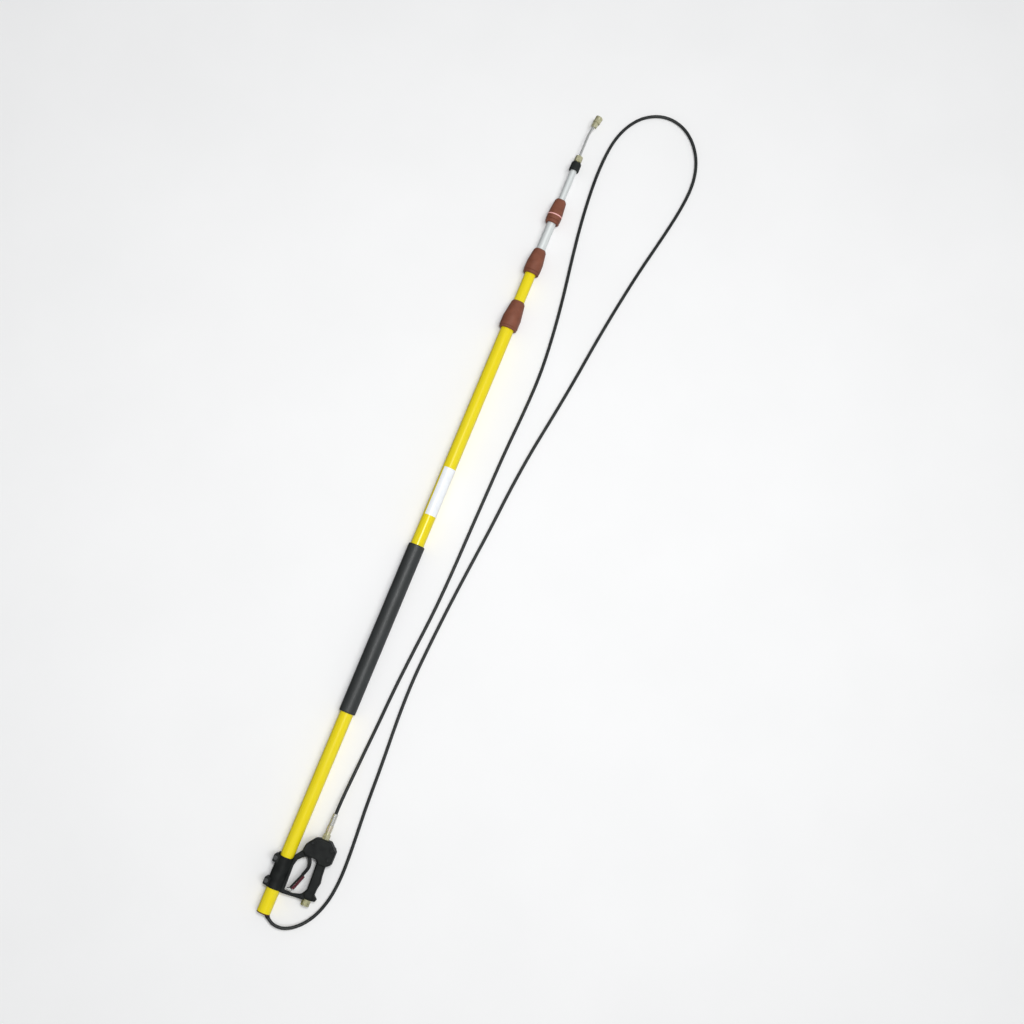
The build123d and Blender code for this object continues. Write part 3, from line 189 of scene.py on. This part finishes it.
class Shader:
    """One material's node tree, with short calls for the few kinds of node that are used here."""

    def __init__(self, name, settings):
        self.material = bpy.data.materials.new(name)
        self.material.use_nodes = True
        self.tree = self.material.node_tree
        self.surface = self.tree.nodes["Principled BSDF"]
        for socket, value in settings.items():
            self.surface.inputs[socket].default_value = value
        self.where = self.add("ShaderNodeTexCoord").outputs["Object"]

    def add(self, kind, **settings):
        node = self.tree.nodes.new(kind)
        for name, value in settings.items():
            setattr(node, name, value)
        return node

    def link(self, source, target):
        self.tree.links.new(source, target)

    def turned(self, angle):
        """The place, turned about the vertical, so that a tilted piece's axis lies along X."""
        node = self.add("ShaderNodeVectorRotate", rotation_type="Z_AXIS")
        node.inputs["Angle"].default_value = angle
        self.link(self.where, node.inputs["Vector"])
        return node.outputs["Vector"]

    def stretched(self, scale, where=None):
        """The place, scaled along each axis, so that a pattern of size 1 becomes 1 / scale."""
        node = self.add("ShaderNodeMapping")
        node.inputs["Scale"].default_value = scale
        self.link(where or self.where, node.inputs["Vector"])
        return node.outputs["Vector"]

    def noise(self, where, scale=1.0, detail=3.0, rough=0.5):
        node = self.add("ShaderNodeTexNoise")
        node.inputs["Scale"].default_value = scale
        node.inputs["Detail"].default_value = detail
        node.inputs["Roughness"].default_value = rough
        self.link(where, node.inputs["Vector"])
        return node.outputs["Fac"]

    def cells(self, scale):
        """The distance to the nearest of many scattered points."""
        node = self.add("ShaderNodeTexVoronoi")
        node.inputs["Scale"].default_value = scale
        self.link(self.where, node.inputs["Vector"])
        return node.outputs["Distance"]

    def spread(self, value, low, high, to=(0.0, 1.0)):
        """A value's range from low to high, spread over the range to and held inside it."""
        node = self.add("ShaderNodeMapRange")
        sockets = ("From Min", "From Max", "To Min", "To Max")
        for socket, number in zip(sockets, (low, high, *to)):
            node.inputs[socket].default_value = number
        self.link(value, node.inputs["Value"])
        return node.outputs["Result"]

    def math(self, operation, first, second=None):
        node = self.add("ShaderNodeMath", operation=operation)
        for socket, value in zip(node.inputs, (first, second)):
            if isinstance(value, (int, float)):
                socket.default_value = value
            elif value is not None:
                self.link(value, socket)
        return node.outputs["Value"]

    def from_axis(self, axis, middle=0.0):
        """How far the place lies from middle along an axis, less than nothing on its low side."""
        node = self.add("ShaderNodeSeparateXYZ")
        self.link(self.where, node.inputs["Vector"])
        return self.math("SUBTRACT", node.outputs[axis], middle)

    def mix(self, share, first, second):
        """From the first colour to the second as the share grows from 0 to 1."""
        node = self.add("ShaderNodeMix", data_type="RGBA")
        self.link(share, node.inputs["Factor"])
        sockets = [socket for socket in node.inputs if socket.type == "RGBA"]
        for socket, colour in zip(sockets, (first, second)):
            if isinstance(colour, tuple):
                socket.default_value = (*colour, 1.0)
            else:
                self.link(colour, socket)
        return [socket for socket in node.outputs if socket.type == "RGBA"][0]

    def rounded(self, radius):
        """The surface's direction, as if every sharp edge had this radius."""
        node = self.add("ShaderNodeBevel", samples=BEVEL_SAMPLES)
        node.inputs["Radius"].default_value = radius
        return node.outputs["Normal"]

    def bump(self, height, depth, normal=None):
        """The surface's direction once height, from 0 to 1, stands out by up to depth."""
        node = self.add("ShaderNodeBump")
        node.inputs["Distance"].default_value = depth
        self.link(height, node.inputs["Height"])
        if normal is not None:
            self.link(normal, node.inputs["Normal"])
        return node.outputs["Normal"]

    def finish(self, colour, roughness, normal=None):
        self.link(colour, self.surface.inputs["Base Color"])
        self.link(roughness, self.surface.inputs["Roughness"])
        if normal is not None:
            self.link(normal, self.surface.inputs["Normal"])
        return self.material


# ---- Materials ------------------------------------------------------------------------------
#
# Most values of a noise lie between 0.3 and 0.7, so a spread over that range uses all of it, and
# one that starts higher picks out the few highest spots.

KNURLS_ROUND = 44
KNURL_PITCH = 3.4 * MILLIMETRE
KNURL_DEPTH = 0.22 * MILLIMETRE
SEAM_INNER, SEAM_OUTER = 0.15 * MILLIMETRE, 0.45 * MILLIMETRE  # from the seam's middle
SEAM_DEPTH = 0.3 * MILLIMETRE
TUBE_EDGE, METAL_EDGE = 0.4 * MILLIMETRE, 0.35 * MILLIMETRE  # the radius of their sharp edges
TOOL_MARK_DEPTH = 0.03 * MILLIMETRE

# Metal finishes: the clean colour, the dull colour and the roughness.
PLATED_BRASS = ((0.93, 0.90, 0.60), (0.42, 0.38, 0.19), 0.32)
DULL_BRASS = ((0.58, 0.57, 0.35), (0.33, 0.31, 0.17), 0.40)
COPPER_PLATE = ((0.92, 0.88, 0.70), (0.56, 0.36, 0.26), 0.30)
CRIMP_STEEL = ((0.80, 0.80, 0.76), (0.52, 0.51, 0.46), 0.26)
STEEL = ((0.78, 0.79, 0.77), (0.50, 0.50, 0.48), 0.34)
DARK_STEEL = ((0.13, 0.135, 0.14), (0.06, 0.06, 0.06), 0.40)
BLACKENED_STEEL = ((0.035, 0.037, 0.038), (0.018, 0.018, 0.018), 0.46)


def fibreglass():
    """Gloss yellow tube: long fibres and a cross wrap under a gel coat, scuffed along the pole."""
    shader = Shader(
        "yellow_fibreglass",
        {"IOR": 1.5, "Coat Weight": 0.6, "Coat Roughness": 0.24, "Specular IOR Level": 0.15},
    )
    deep, bright = (0.78, 0.62, 0.004), (0.87, 0.73, 0.006)
    bleached, scuffed = (0.80, 0.70, 0.03), (0.86, 0.80, 0.30)
    fibres = shader.noise(shader.stretched((5, 900, 900)), detail=5, rough=0.6)
    clouds = shader.noise(shader.where, scale=14, detail=2)
    scuffs = shader.noise(shader.stretched((35, 1900, 1900)), detail=2)
    worn = shader.spread(scuffs, 0.66, 0.76)
    wrap = shader.noise(shader.stretched((420, 90, 90)), rough=0.6)
    body = shader.mix(shader.spread(fibres, 0.3, 0.7), deep, bright)
    faded = shader.mix(shader.spread(clouds, 0.45, 0.75, to=(0.0, 0.35)), body, bleached)
    colour = shader.mix(shader.math("MULTIPLY", worn, 0.35), faded, scuffed)
    roughness = shader.spread(worn, 0, 1, to=(0.30, 0.50))
    wrapped = shader.bump(wrap, 0.16 * MILLIMETRE, shader.rounded(TUBE_EDGE))
    return shader.finish(colour, roughness, shader.bump(fibres, 0.08 * MILLIMETRE, wrapped))


def aluminium():
    """Bare drawn tube: fine lines along its length, and faint rubbing where it slides."""
    shader = Shader("bare_aluminium", {"Metallic": 0.5})
    bare, rubbed = (0.92, 0.96, 0.95), (0.85, 0.88, 0.88)
    lines = shader.noise(shader.stretched((4, 2600, 2600)), detail=5, rough=0.7)
    rubbing = shader.noise(shader.stretched((9, 160, 160)))
    colour = shader.mix(shader.spread(rubbing, 0.35, 0.7), bare, rubbed)
    roughness = shader.spread(lines, 0.3, 0.7, to=(0.42, 0.58))
    normal = shader.bump(lines, 0.05 * MILLIMETRE, shader.rounded(TUBE_EDGE))
    return shader.finish(colour, roughness, normal)


def foam():
    """Closed-cell foam: small pores in a soft dark skin, worn lighter in patches by the hand."""
    shader = Shader("foam", {"IOR": 1.5, "Specular IOR Level": 0.85})
    pore, skin, handled = (0.005, 0.006, 0.006), (0.017, 0.020, 0.020), (0.030, 0.036, 0.038)
    pores = shader.cells(1100)
    wrinkles = shader.noise(shader.where, scale=420, detail=4)
    patches = shader.noise(shader.stretched((9, 22, 22)))
    clean = shader.mix(shader.spread(pores, 0.05, 0.45), pore, skin)
    colour = shader.mix(shader.spread(patches, 0.42, 0.72, to=(0.0, 0.45)), clean, handled)
    roughness = shader.spread(wrinkles, 0.3, 0.7, to=(0.42, 0.54))
    wrinkled = shader.bump(wrinkles, 0.35 * MILLIMETRE)
    normal = shader.bump(shader.spread(pores, 0, 0.4), 0.22 * MILLIMETRE, wrinkled)
    return shader.finish(colour, roughness, normal)


def label_film():
    """Blank white film, stuck on by hand: faint ripples and a grey bloom of handling."""
    shader = Shader("label_film", {"IOR": 1.48, "Coat Weight": 0.3, "Coat Roughness": 0.2})
    clean, grey = (0.90, 0.925, 0.95), (0.83, 0.86, 0.90)
    ripples = shader.noise(shader.stretched((45, 160, 160)), detail=2)
    bloom = shader.noise(shader.where, scale=55, detail=4)
    colour = shader.mix(shader.spread(bloom, 0.4, 0.75), clean, grey)
    roughness = shader.spread(bloom, 0.3, 0.7, to=(0.28, 0.42))
    return shader.finish(colour, roughness, shader.bump(ripples, 0.25 * MILLIMETRE))


def moulded(
    name, dark, light, rough, grain=0.5, depth=0.03, edge=0.5, worn=None, reflection=0.22
):
    """Moulded plastic or rubber: an etched grain, uneven tone and scattered scuffs.

    dark and light are the ends of its tone, and worn is the colour that scuffs leave. grain is
    the size of the etched texture, depth its height and edge the radius of every sharp edge, all
    in millimetres.
    """
    shader = Shader(name, {"Specular IOR Level": reflection})
    grains = shader.noise(shader.where, scale=1 / (grain * MILLIMETRE), rough=0.6)
    tone = shader.noise(shader.where, scale=45, detail=4)
    scuffs = shader.noise(shader.where, scale=260, detail=5, rough=0.75)
    colour = shader.mix(shader.spread(tone, 0.32, 0.7), dark, light)
    rubbed = shader.spread(scuffs, 0.62, 0.8, to=(0.0, 0.5))
    if worn:
        colour = shader.mix(rubbed, colour, worn)
    roughness = shader.math(
        "ADD",
        shader.spread(grains, 0.3, 0.7, to=(rough - 0.05, rough + 0.07)),
        shader.math("MULTIPLY", rubbed, 0.2),
    )
    normal = shader.bump(grains, depth * MILLIMETRE, shader.rounded(edge * MILLIMETRE))
    return shader, colour, roughness, normal


def plastic(*facts, **more):
    """A moulded material with nothing added to it."""
    shader, colour, roughness, normal = moulded(*facts, **more)
    return shader.finish(colour, roughness, normal)


def gun_plastic():
    """Black glass-filled nylon, with the seam where the two moulded halves meet."""
    shader, colour, roughness, normal = moulded(
        "gun_plastic",
        dark=(0.006, 0.007, 0.007),
        light=(0.015, 0.017, 0.016),
        rough=0.46,
        grain=0.9,
        depth=0.07,
        edge=0.9,
        worn=(0.04, 0.045, 0.044),
    )
    seam_shadow = (0.003, 0.003, 0.003)
    from_seam = shader.math("ABSOLUTE", shader.from_axis("Z", AXIS_Z))
    shell = shader.spread(from_seam, SEAM_INNER, SEAM_OUTER)
    colour = shader.mix(shell, seam_shadow, colour)
    return shader.finish(colour, roughness, shader.bump(shell, SEAM_DEPTH, normal))


def lock_plastic():
    """Brown nylon with a fine diamond knurl, whose points are painted paler as a painted
    highlight.
    """
    shader, colour, roughness, normal = moulded(
        "lock_plastic",
        dark=(0.170, 0.044, 0.018),
        light=(0.235, 0.070, 0.034),
        rough=0.46,
        grain=0.6,
        depth=0.05,
        edge=0.8,
        worn=(0.33, 0.15, 0.10),
        reflection=0.6,
    )
    # The colour of the painted highlight that the knurl's points are painted with.
    rubbed = (0.32, 0.15, 0.10)
    angle = shader.math("ARCTAN2", shader.from_axis("Y", AXIS_Y), shader.from_axis("Z", AXIS_Z))
    around = shader.math("MULTIPLY", angle, KNURLS_ROUND / 2)
    along = shader.math("MULTIPLY", shader.from_axis("X"), math.pi / KNURL_PITCH)
    right, left = (
        shader.math("ABSOLUTE", shader.math("SINE", shader.math(slant, around, along)))
        for slant in ("ADD", "SUBTRACT")
    )
    knurl = shader.spread(shader.math("MULTIPLY", right, left), 0.05, 0.55)
    # Painted highlight: the highest parts of the knurl are mixed towards that paler colour.
    points = shader.spread(knurl, 0.55, 1.0, to=(0.0, 0.16))
    colour = shader.mix(points, colour, rubbed)
    return shader.finish(colour, roughness, shader.bump(knurl, KNURL_DEPTH, normal))


def turned(name, clean, dull, rough, turn=0.0, line=0.35):
    """Turned or plated metal: fine lines round its axis, and dull patches in the finish.

    turn is the angle that brings the piece's axis to X, and line is the spacing of the tool
    marks in millimetres.
    """
    shader = Shader(name, {"Metallic": 0.8})
    rings = shader.stretched((1 / (line * MILLIMETRE), 6, 6), shader.turned(turn))
    marks = shader.noise(rings)
    patches = shader.noise(shader.where, scale=150, detail=5, rough=0.65)
    grime = shader.noise(shader.where, scale=900)
    colour = shader.mix(shader.spread(patches, 0.42, 0.72, to=(0.0, 0.8)), clean, dull)
    roughness = shader.math(
        "ADD",
        shader.spread(patches, 0.35, 0.75, to=(rough - 0.06, rough + 0.16)),
        shader.spread(grime, 0.55, 0.8, to=(0.0, 0.15)),
    )
    normal = shader.bump(marks, TOOL_MARK_DEPTH, shader.rounded(METAL_EDGE))
    return shader.finish(colour, roughness, normal)


def hose_rubber():
    """Smooth black rubber cover with the faint cross-weave of the wrap it was cured in."""
    shader = Shader("hose_rubber", {"Specular IOR Level": 0.5})
    black, bloomed, dusty = (0.008, 0.010, 0.010), (0.020, 0.024, 0.023), (0.09, 0.10, 0.095)
    weave = shader.noise(shader.where, scale=1500, detail=2)
    bloom = shader.noise(shader.where, scale=28, detail=4, rough=0.6)
    dust = shader.noise(shader.where, scale=420, detail=5, rough=0.75)
    clean = shader.mix(shader.spread(bloom, 0.35, 0.7), black, bloomed)
    colour = shader.mix(shader.spread(dust, 0.6, 0.8, to=(0.0, 0.3)), clean, dusty)
    roughness = shader.spread(bloom, 0.3, 0.7, to=(0.40, 0.56))
    return shader.finish(colour, roughness, shader.bump(weave, 0.05 * MILLIMETRE))


def floor_paint():
    """Matt white paint, very slightly uneven."""
    shader = Shader("floor", {"Specular IOR Level": 0.1})
    greyer, whiter = (0.90, 0.90, 0.90), (0.92, 0.92, 0.92)
    mottle = shader.noise(shader.where, scale=3, detail=5)
    colour = shader.mix(shader.spread(mottle, 0.3, 0.7), greyer, whiter)
    return shader.finish(colour, shader.spread(mottle, 0.3, 0.7, to=(0.75, 0.85)))


# ---- What wears what ------------------------------------------------------------------------

LOCKS = (1, 2, 3)
SLIDING_SECTIONS = (2, 3, 4)


def dress(material, *names):
    """Gives these CAD nodes the material in every slot."""
    for name in names:
        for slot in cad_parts[name].material_slots:
            slot.material = material


def dress_pole():
    """The tubes, the label, the locks and the pole's other plastic and rubber pieces."""
    dress(fibreglass(), "outer_tube", "second_tube")
    dress(aluminium(), "third_tube", "tip_tube")
    dress(label_film(), "blank_label")
    dress(lock_plastic(), *(f"lock{n}_{part}" for n in LOCKS for part in ("base", "nut")))
    band = plastic(
        "band_plastic",
        dark=(0.93, 0.45, 0.42),
        light=(0.97, 0.56, 0.53),
        rough=0.35,
        edge=0.3,
        worn=(0.90, 0.60, 0.57),
    )
    dress(band, "lock3_band")
    collet = plastic(
        "collet_plastic",
        dark=(0.66, 0.65, 0.60),
        light=(0.76, 0.75, 0.71),
        rough=0.4,
        worn=(0.5, 0.47, 0.4),
    )
    dress(collet, *(f"lock{n}_collet" for n in LOCKS))
    dress(collet, *(f"glide_{n}" for n in SLIDING_SECTIONS))
    bush = plastic(
        "bush_plastic",
        dark=(0.075, 0.022, 0.012),
        light=(0.120, 0.042, 0.024),
        rough=0.45,
        worn=(0.2, 0.1, 0.07),
    )
    dress(bush, "butt_bush")
    grommet = plastic(
        "grommet_rubber",
        dark=(0.010, 0.010, 0.010),
        light=(0.022, 0.022, 0.022),
        rough=0.6,
        grain=0.7,
        depth=0.05,
        edge=0.7,
        worn=(0.05, 0.05, 0.05),
    )
    dress(grommet, "hose_grommet")
    collar = plastic(
        "collar_plastic",
        dark=(0.012, 0.014, 0.013),
        light=(0.030, 0.034, 0.032),
        rough=0.42,
        edge=0.8,
        depth=0.05,
        worn=(0.09, 0.10, 0.095),
    )
    dress(collar, "tip_collar")


def dress_gun():
    """The gun's plastics, and the rubber of its seal and of the coupler's."""
    dress(gun_plastic(), "gun_shell_upper", "gun_shell_lower")
    trigger = plastic(
        "trigger_plastic",
        dark=(0.006, 0.006, 0.006),
        light=(0.016, 0.017, 0.017),
        rough=0.42,
        grain=0.8,
        depth=0.05,
        edge=1.2,
        worn=(0.06, 0.06, 0.06),
    )
    dress(trigger, "trigger")
    latch = plastic(
        "latch_plastic",
        dark=(0.068, 0.012, 0.018),
        light=(0.112, 0.024, 0.034),
        rough=0.38,
        edge=0.8,
        worn=(0.22, 0.08, 0.10),
    )
    dress(latch, "trigger_latch")
    seat = plastic(
        "seat_plastic", dark=(0.82, 0.82, 0.79), light=(0.88, 0.88, 0.86), rough=0.4
    )
    dress(seat, "valve_seat")
    seal = plastic(
        "seal_rubber", dark=(0.012, 0.012, 0.012), light=(0.02, 0.02, 0.02), rough=0.55
    )
    dress(seal, "valve_o_ring", "coupler_seal")


def dress_metal():
    """Every metal piece but the tubes. The coupler's are tilted with the rod."""
    brass = turned("brass", *PLATED_BRASS)
    dress(brass, "tip_adapter", "tip_hex_nut", "valve_block", "outlet_fitting")
    dress(turned("dull_brass", *DULL_BRASS), "inlet_fitting")
    dress(turned("copper_plate", *COPPER_PLATE), "hose_swivel_nut")
    dress(turned("crimp_steel", *CRIMP_STEEL, line=0.8), "hose_ferrule")
    dress(turned("dark_steel", *DARK_STEEL), "clamp_bolts", "clamp_nuts", "clamp_washers")
    dress(turned("blackened_steel", *BLACKENED_STEEL), "shell_screws")
    steel = turned("steel", *STEEL)
    dress(steel, "lance_rod", "inlet_pipe", "trigger_pin", "latch_pin")
    dress(steel, "valve_ball", "valve_pin", "valve_spring")
    tilted_brass = turned("coupler_brass", *PLATED_BRASS, turn=ROD_TURN)
    dress(tilted_brass, "coupler_body", "coupler_sleeve")
    tilted_steel = turned("coupler_steel", *STEEL, turn=ROD_TURN)
    dress(tilted_steel, "coupler_spring", "coupler_balls", "coupler_ring")


# ---- The hose -------------------------------------------------------------------------------

HOSE_DIAMETER = 0.009
HOSE_HEIGHT = 0.0048  # of its middle, where it lies on the ground
HOSE_EXIT = (0.3143, 0.079, AXIS_Z)  # along, out and height of the ferrule's mouth
# The route from the ferrule to the grommet in the pole's butt: along, out and height.
HOSE_ROUTE = [
    HOSE_EXIT,
    (0.3500, 0.0790, AXIS_Z),
    (0.3920, 0.0805, 0.0205),
    (0.4420, 0.0825, 0.0115),
    (0.5000, 0.0850, 0.0060),
    (0.5750, 0.0895, HOSE_HEIGHT),
    (0.6800, 0.0940, HOSE_HEIGHT),
    (0.7950, 0.1025, HOSE_HEIGHT),
    (0.9200, 0.1135, HOSE_HEIGHT),
    (1.0450, 0.1185, HOSE_HEIGHT),
    (1.1700, 0.1205, HOSE_HEIGHT),
    (1.2900, 0.1235, HOSE_HEIGHT),
    (1.4150, 0.1260, HOSE_HEIGHT),
    (1.5350, 0.1325, HOSE_HEIGHT),
    (1.6550, 0.1355, HOSE_HEIGHT),
    (1.7750, 0.1265, HOSE_HEIGHT),
    (1.8950, 0.1115, HOSE_HEIGHT),
    (2.0100, 0.0925, HOSE_HEIGHT),
    (2.1250, 0.0760, HOSE_HEIGHT),
    (2.2400, 0.0660, HOSE_HEIGHT),
    (2.3250, 0.0655, HOSE_HEIGHT),
    (2.3950, 0.0730, HOSE_HEIGHT),
    (2.4520, 0.0950, HOSE_HEIGHT),
    (2.4950, 0.1310, HOSE_HEIGHT),
    (2.5180, 0.1840, HOSE_HEIGHT),
    (2.5100, 0.2400, HOSE_HEIGHT),
    (2.4770, 0.2860, HOSE_HEIGHT),
    (2.4240, 0.3200, HOSE_HEIGHT),
    (2.3570, 0.3355, HOSE_HEIGHT),
    (2.2750, 0.3300, HOSE_HEIGHT),
    (2.1750, 0.3120, HOSE_HEIGHT),
    (2.0550, 0.2865, HOSE_HEIGHT),
    (1.9300, 0.2650, HOSE_HEIGHT),
    (1.8050, 0.2465, HOSE_HEIGHT),
    (1.6850, 0.2320, HOSE_HEIGHT),
    (1.5650, 0.2145, HOSE_HEIGHT),
    (1.4450, 0.1950, HOSE_HEIGHT),
    (1.3250, 0.1810, HOSE_HEIGHT),
    (1.2000, 0.1710, HOSE_HEIGHT),
    (1.0800, 0.1585, HOSE_HEIGHT),
    (0.9600, 0.1470, HOSE_HEIGHT),
    (0.8400, 0.1380, HOSE_HEIGHT),
    (0.7200, 0.1315, HOSE_HEIGHT),
    (0.6000, 0.1345, HOSE_HEIGHT),
    (0.4850, 0.1415, HOSE_HEIGHT),
    (0.3750, 0.1455, HOSE_HEIGHT),
    (0.3100, 0.1495, HOSE_HEIGHT),
    (0.2300, 0.1550, HOSE_HEIGHT),
    (0.1590, 0.1570, HOSE_HEIGHT),
    (0.0980, 0.1505, HOSE_HEIGHT),
    (0.0505, 0.1350, 0.0062),
    (0.0165, 0.1138, 0.0096),
    (-0.0060, 0.0898, 0.0150),
    (-0.0178, 0.0660, 0.0208),
    (-0.0188, 0.0430, 0.0253),
    (-0.0122, 0.0248, AXIS_Z),
    (-0.00043, 0.0108, AXIS_Z),
]


def add_hose(material):
    """The outer hose: one NURBS curve with the route's points as its control points."""
    curve = bpy.data.curves.new("hose_line", "CURVE")
    curve.dimensions = "3D"
    curve.resolution_u = 10
    curve.bevel_depth = HOSE_DIAMETER / 2
    curve.bevel_resolution = 7
    curve.use_fill_caps = True
    spline = curve.splines.new("NURBS")
    spline.points.add(len(HOSE_ROUTE) - 1)
    for point, spot in zip(spline.points, HOSE_ROUTE):
        point.co = (*place(*spot), 1.0)
    spline.order_u = 3  # it can't be higher than the number of points, so they come first
    spline.use_endpoint_u = True
    curve.materials.append(material)
    hose = bpy.data.objects.new("wash_hose", curve)
    scene.collection.objects.link(hose)
    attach(hose, "pole_base")
    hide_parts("hose")


# ---- The foam sleeve ------------------------------------------------------------------------

FOAM_END_ROUND = 3.2 * MILLIMETRE
FOAM_GAP = 0.15 * MILLIMETRE  # between its bore and the tube
FOAM_UNEVENNESS = 0.35 * MILLIMETRE
FOAM_SIDES, FOAM_STEPS, FOAM_END_STEPS = 72, 160, 8


def ring_mesh(name, profile, sides, shape):
    """A closed ring round the pole: the profile's points, swept round the pole's axis.

    Each point is its x, its radius and whether shape moves it, and shape gives how far from an
    x and an angle.
    """
    form = bmesh.new()
    rings = []
    for x, radius, shaped in profile:
        ring = []
        for side in range(sides):
            angle = 2 * math.pi * side / sides
            reach = radius + (shape(x, angle) if shaped else 0.0)
            spot = (x, AXIS_Y + math.sin(angle) * reach, AXIS_Z + math.cos(angle) * reach)
            ring.append(form.verts.new(spot))
        rings.append(ring)
    for this, following in zip(rings, rings[1:] + rings[:1]):
        for side in range(sides):
            after = (side + 1) % sides
            form.faces.new((this[side], following[side], following[after], this[after]))
    bmesh.ops.recalc_face_normals(form, faces=form.faces)
    mesh = bpy.data.meshes.new(name)
    form.to_mesh(mesh)
    form.free()
    mesh.polygons.foreach_set("use_smooth", [True] * len(mesh.polygons))
    piece = bpy.data.objects.new(name, mesh)
    scene.collection.objects.link(piece)
    return piece


def ripple(x, angle, along, around):
    """A smooth unevenness between about -1 and 1, with its rates along and around the pole."""
    return noise.noise(Vector((x * along, math.sin(angle) * around, math.cos(angle) * around)))


def foam_skin(x, angle):
    """How far the foam's skin stands out, which is nearly always less than nothing."""
    broad = ripple(x, angle, along=14, around=1.3)
    fine = ripple(x, angle, along=95, around=5)
    return -FOAM_UNEVENNESS * (0.5 + 0.6 * broad + 0.25 * fine)


def add_foam(material):
    """The foam sleeve: soft rounded ends, a slightly uneven skin, and a bore on the tube."""
    low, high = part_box("foam_grip")
    outer = (high.z - low.z) / 2
    bore = TUBE_RADIUS + FOAM_GAP

    # How far in from the end, and from the full radius, each point of the rounded end is.
    rounding = []
    for step in range(FOAM_END_STEPS + 1):
        angle = math.pi / 2 * step / FOAM_END_STEPS
        inset = FOAM_END_ROUND * (1 - math.cos(angle))
        drop = FOAM_END_ROUND * (1 - math.sin(angle))
        rounding.append((inset, drop))

    start, length = low.x + FOAM_END_ROUND, high.x - low.x - 2 * FOAM_END_ROUND
    profile = [(low.x, bore, False)]
    profile += [(low.x + inset, outer - drop, True) for inset, drop in rounding]
    for step in range(1, FOAM_STEPS):
        profile.append((start + length * step / FOAM_STEPS, outer, True))
    profile += [(high.x - inset, outer - drop, True) for inset, drop in reversed(rounding)]
    profile.append((high.x, bore, False))

    grip = ring_mesh("foam_sleeve", profile, FOAM_SIDES, foam_skin)
    grip.data.materials.append(material)
    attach(grip, "pole_base")
    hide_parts("foam_grip")


# ---- The scene ------------------------------------------------------------------------------

scene.view_settings.view_transform = "Standard"

add_camera()
add_sky()
add_lights()
add_floor(floor_paint())

hose_cover = hose_rubber()
add_hose(hose_cover)
dress(hose_cover, "inner_hose")
add_foam(foam())
dress_pole()
dress_gun()
dress_metal()
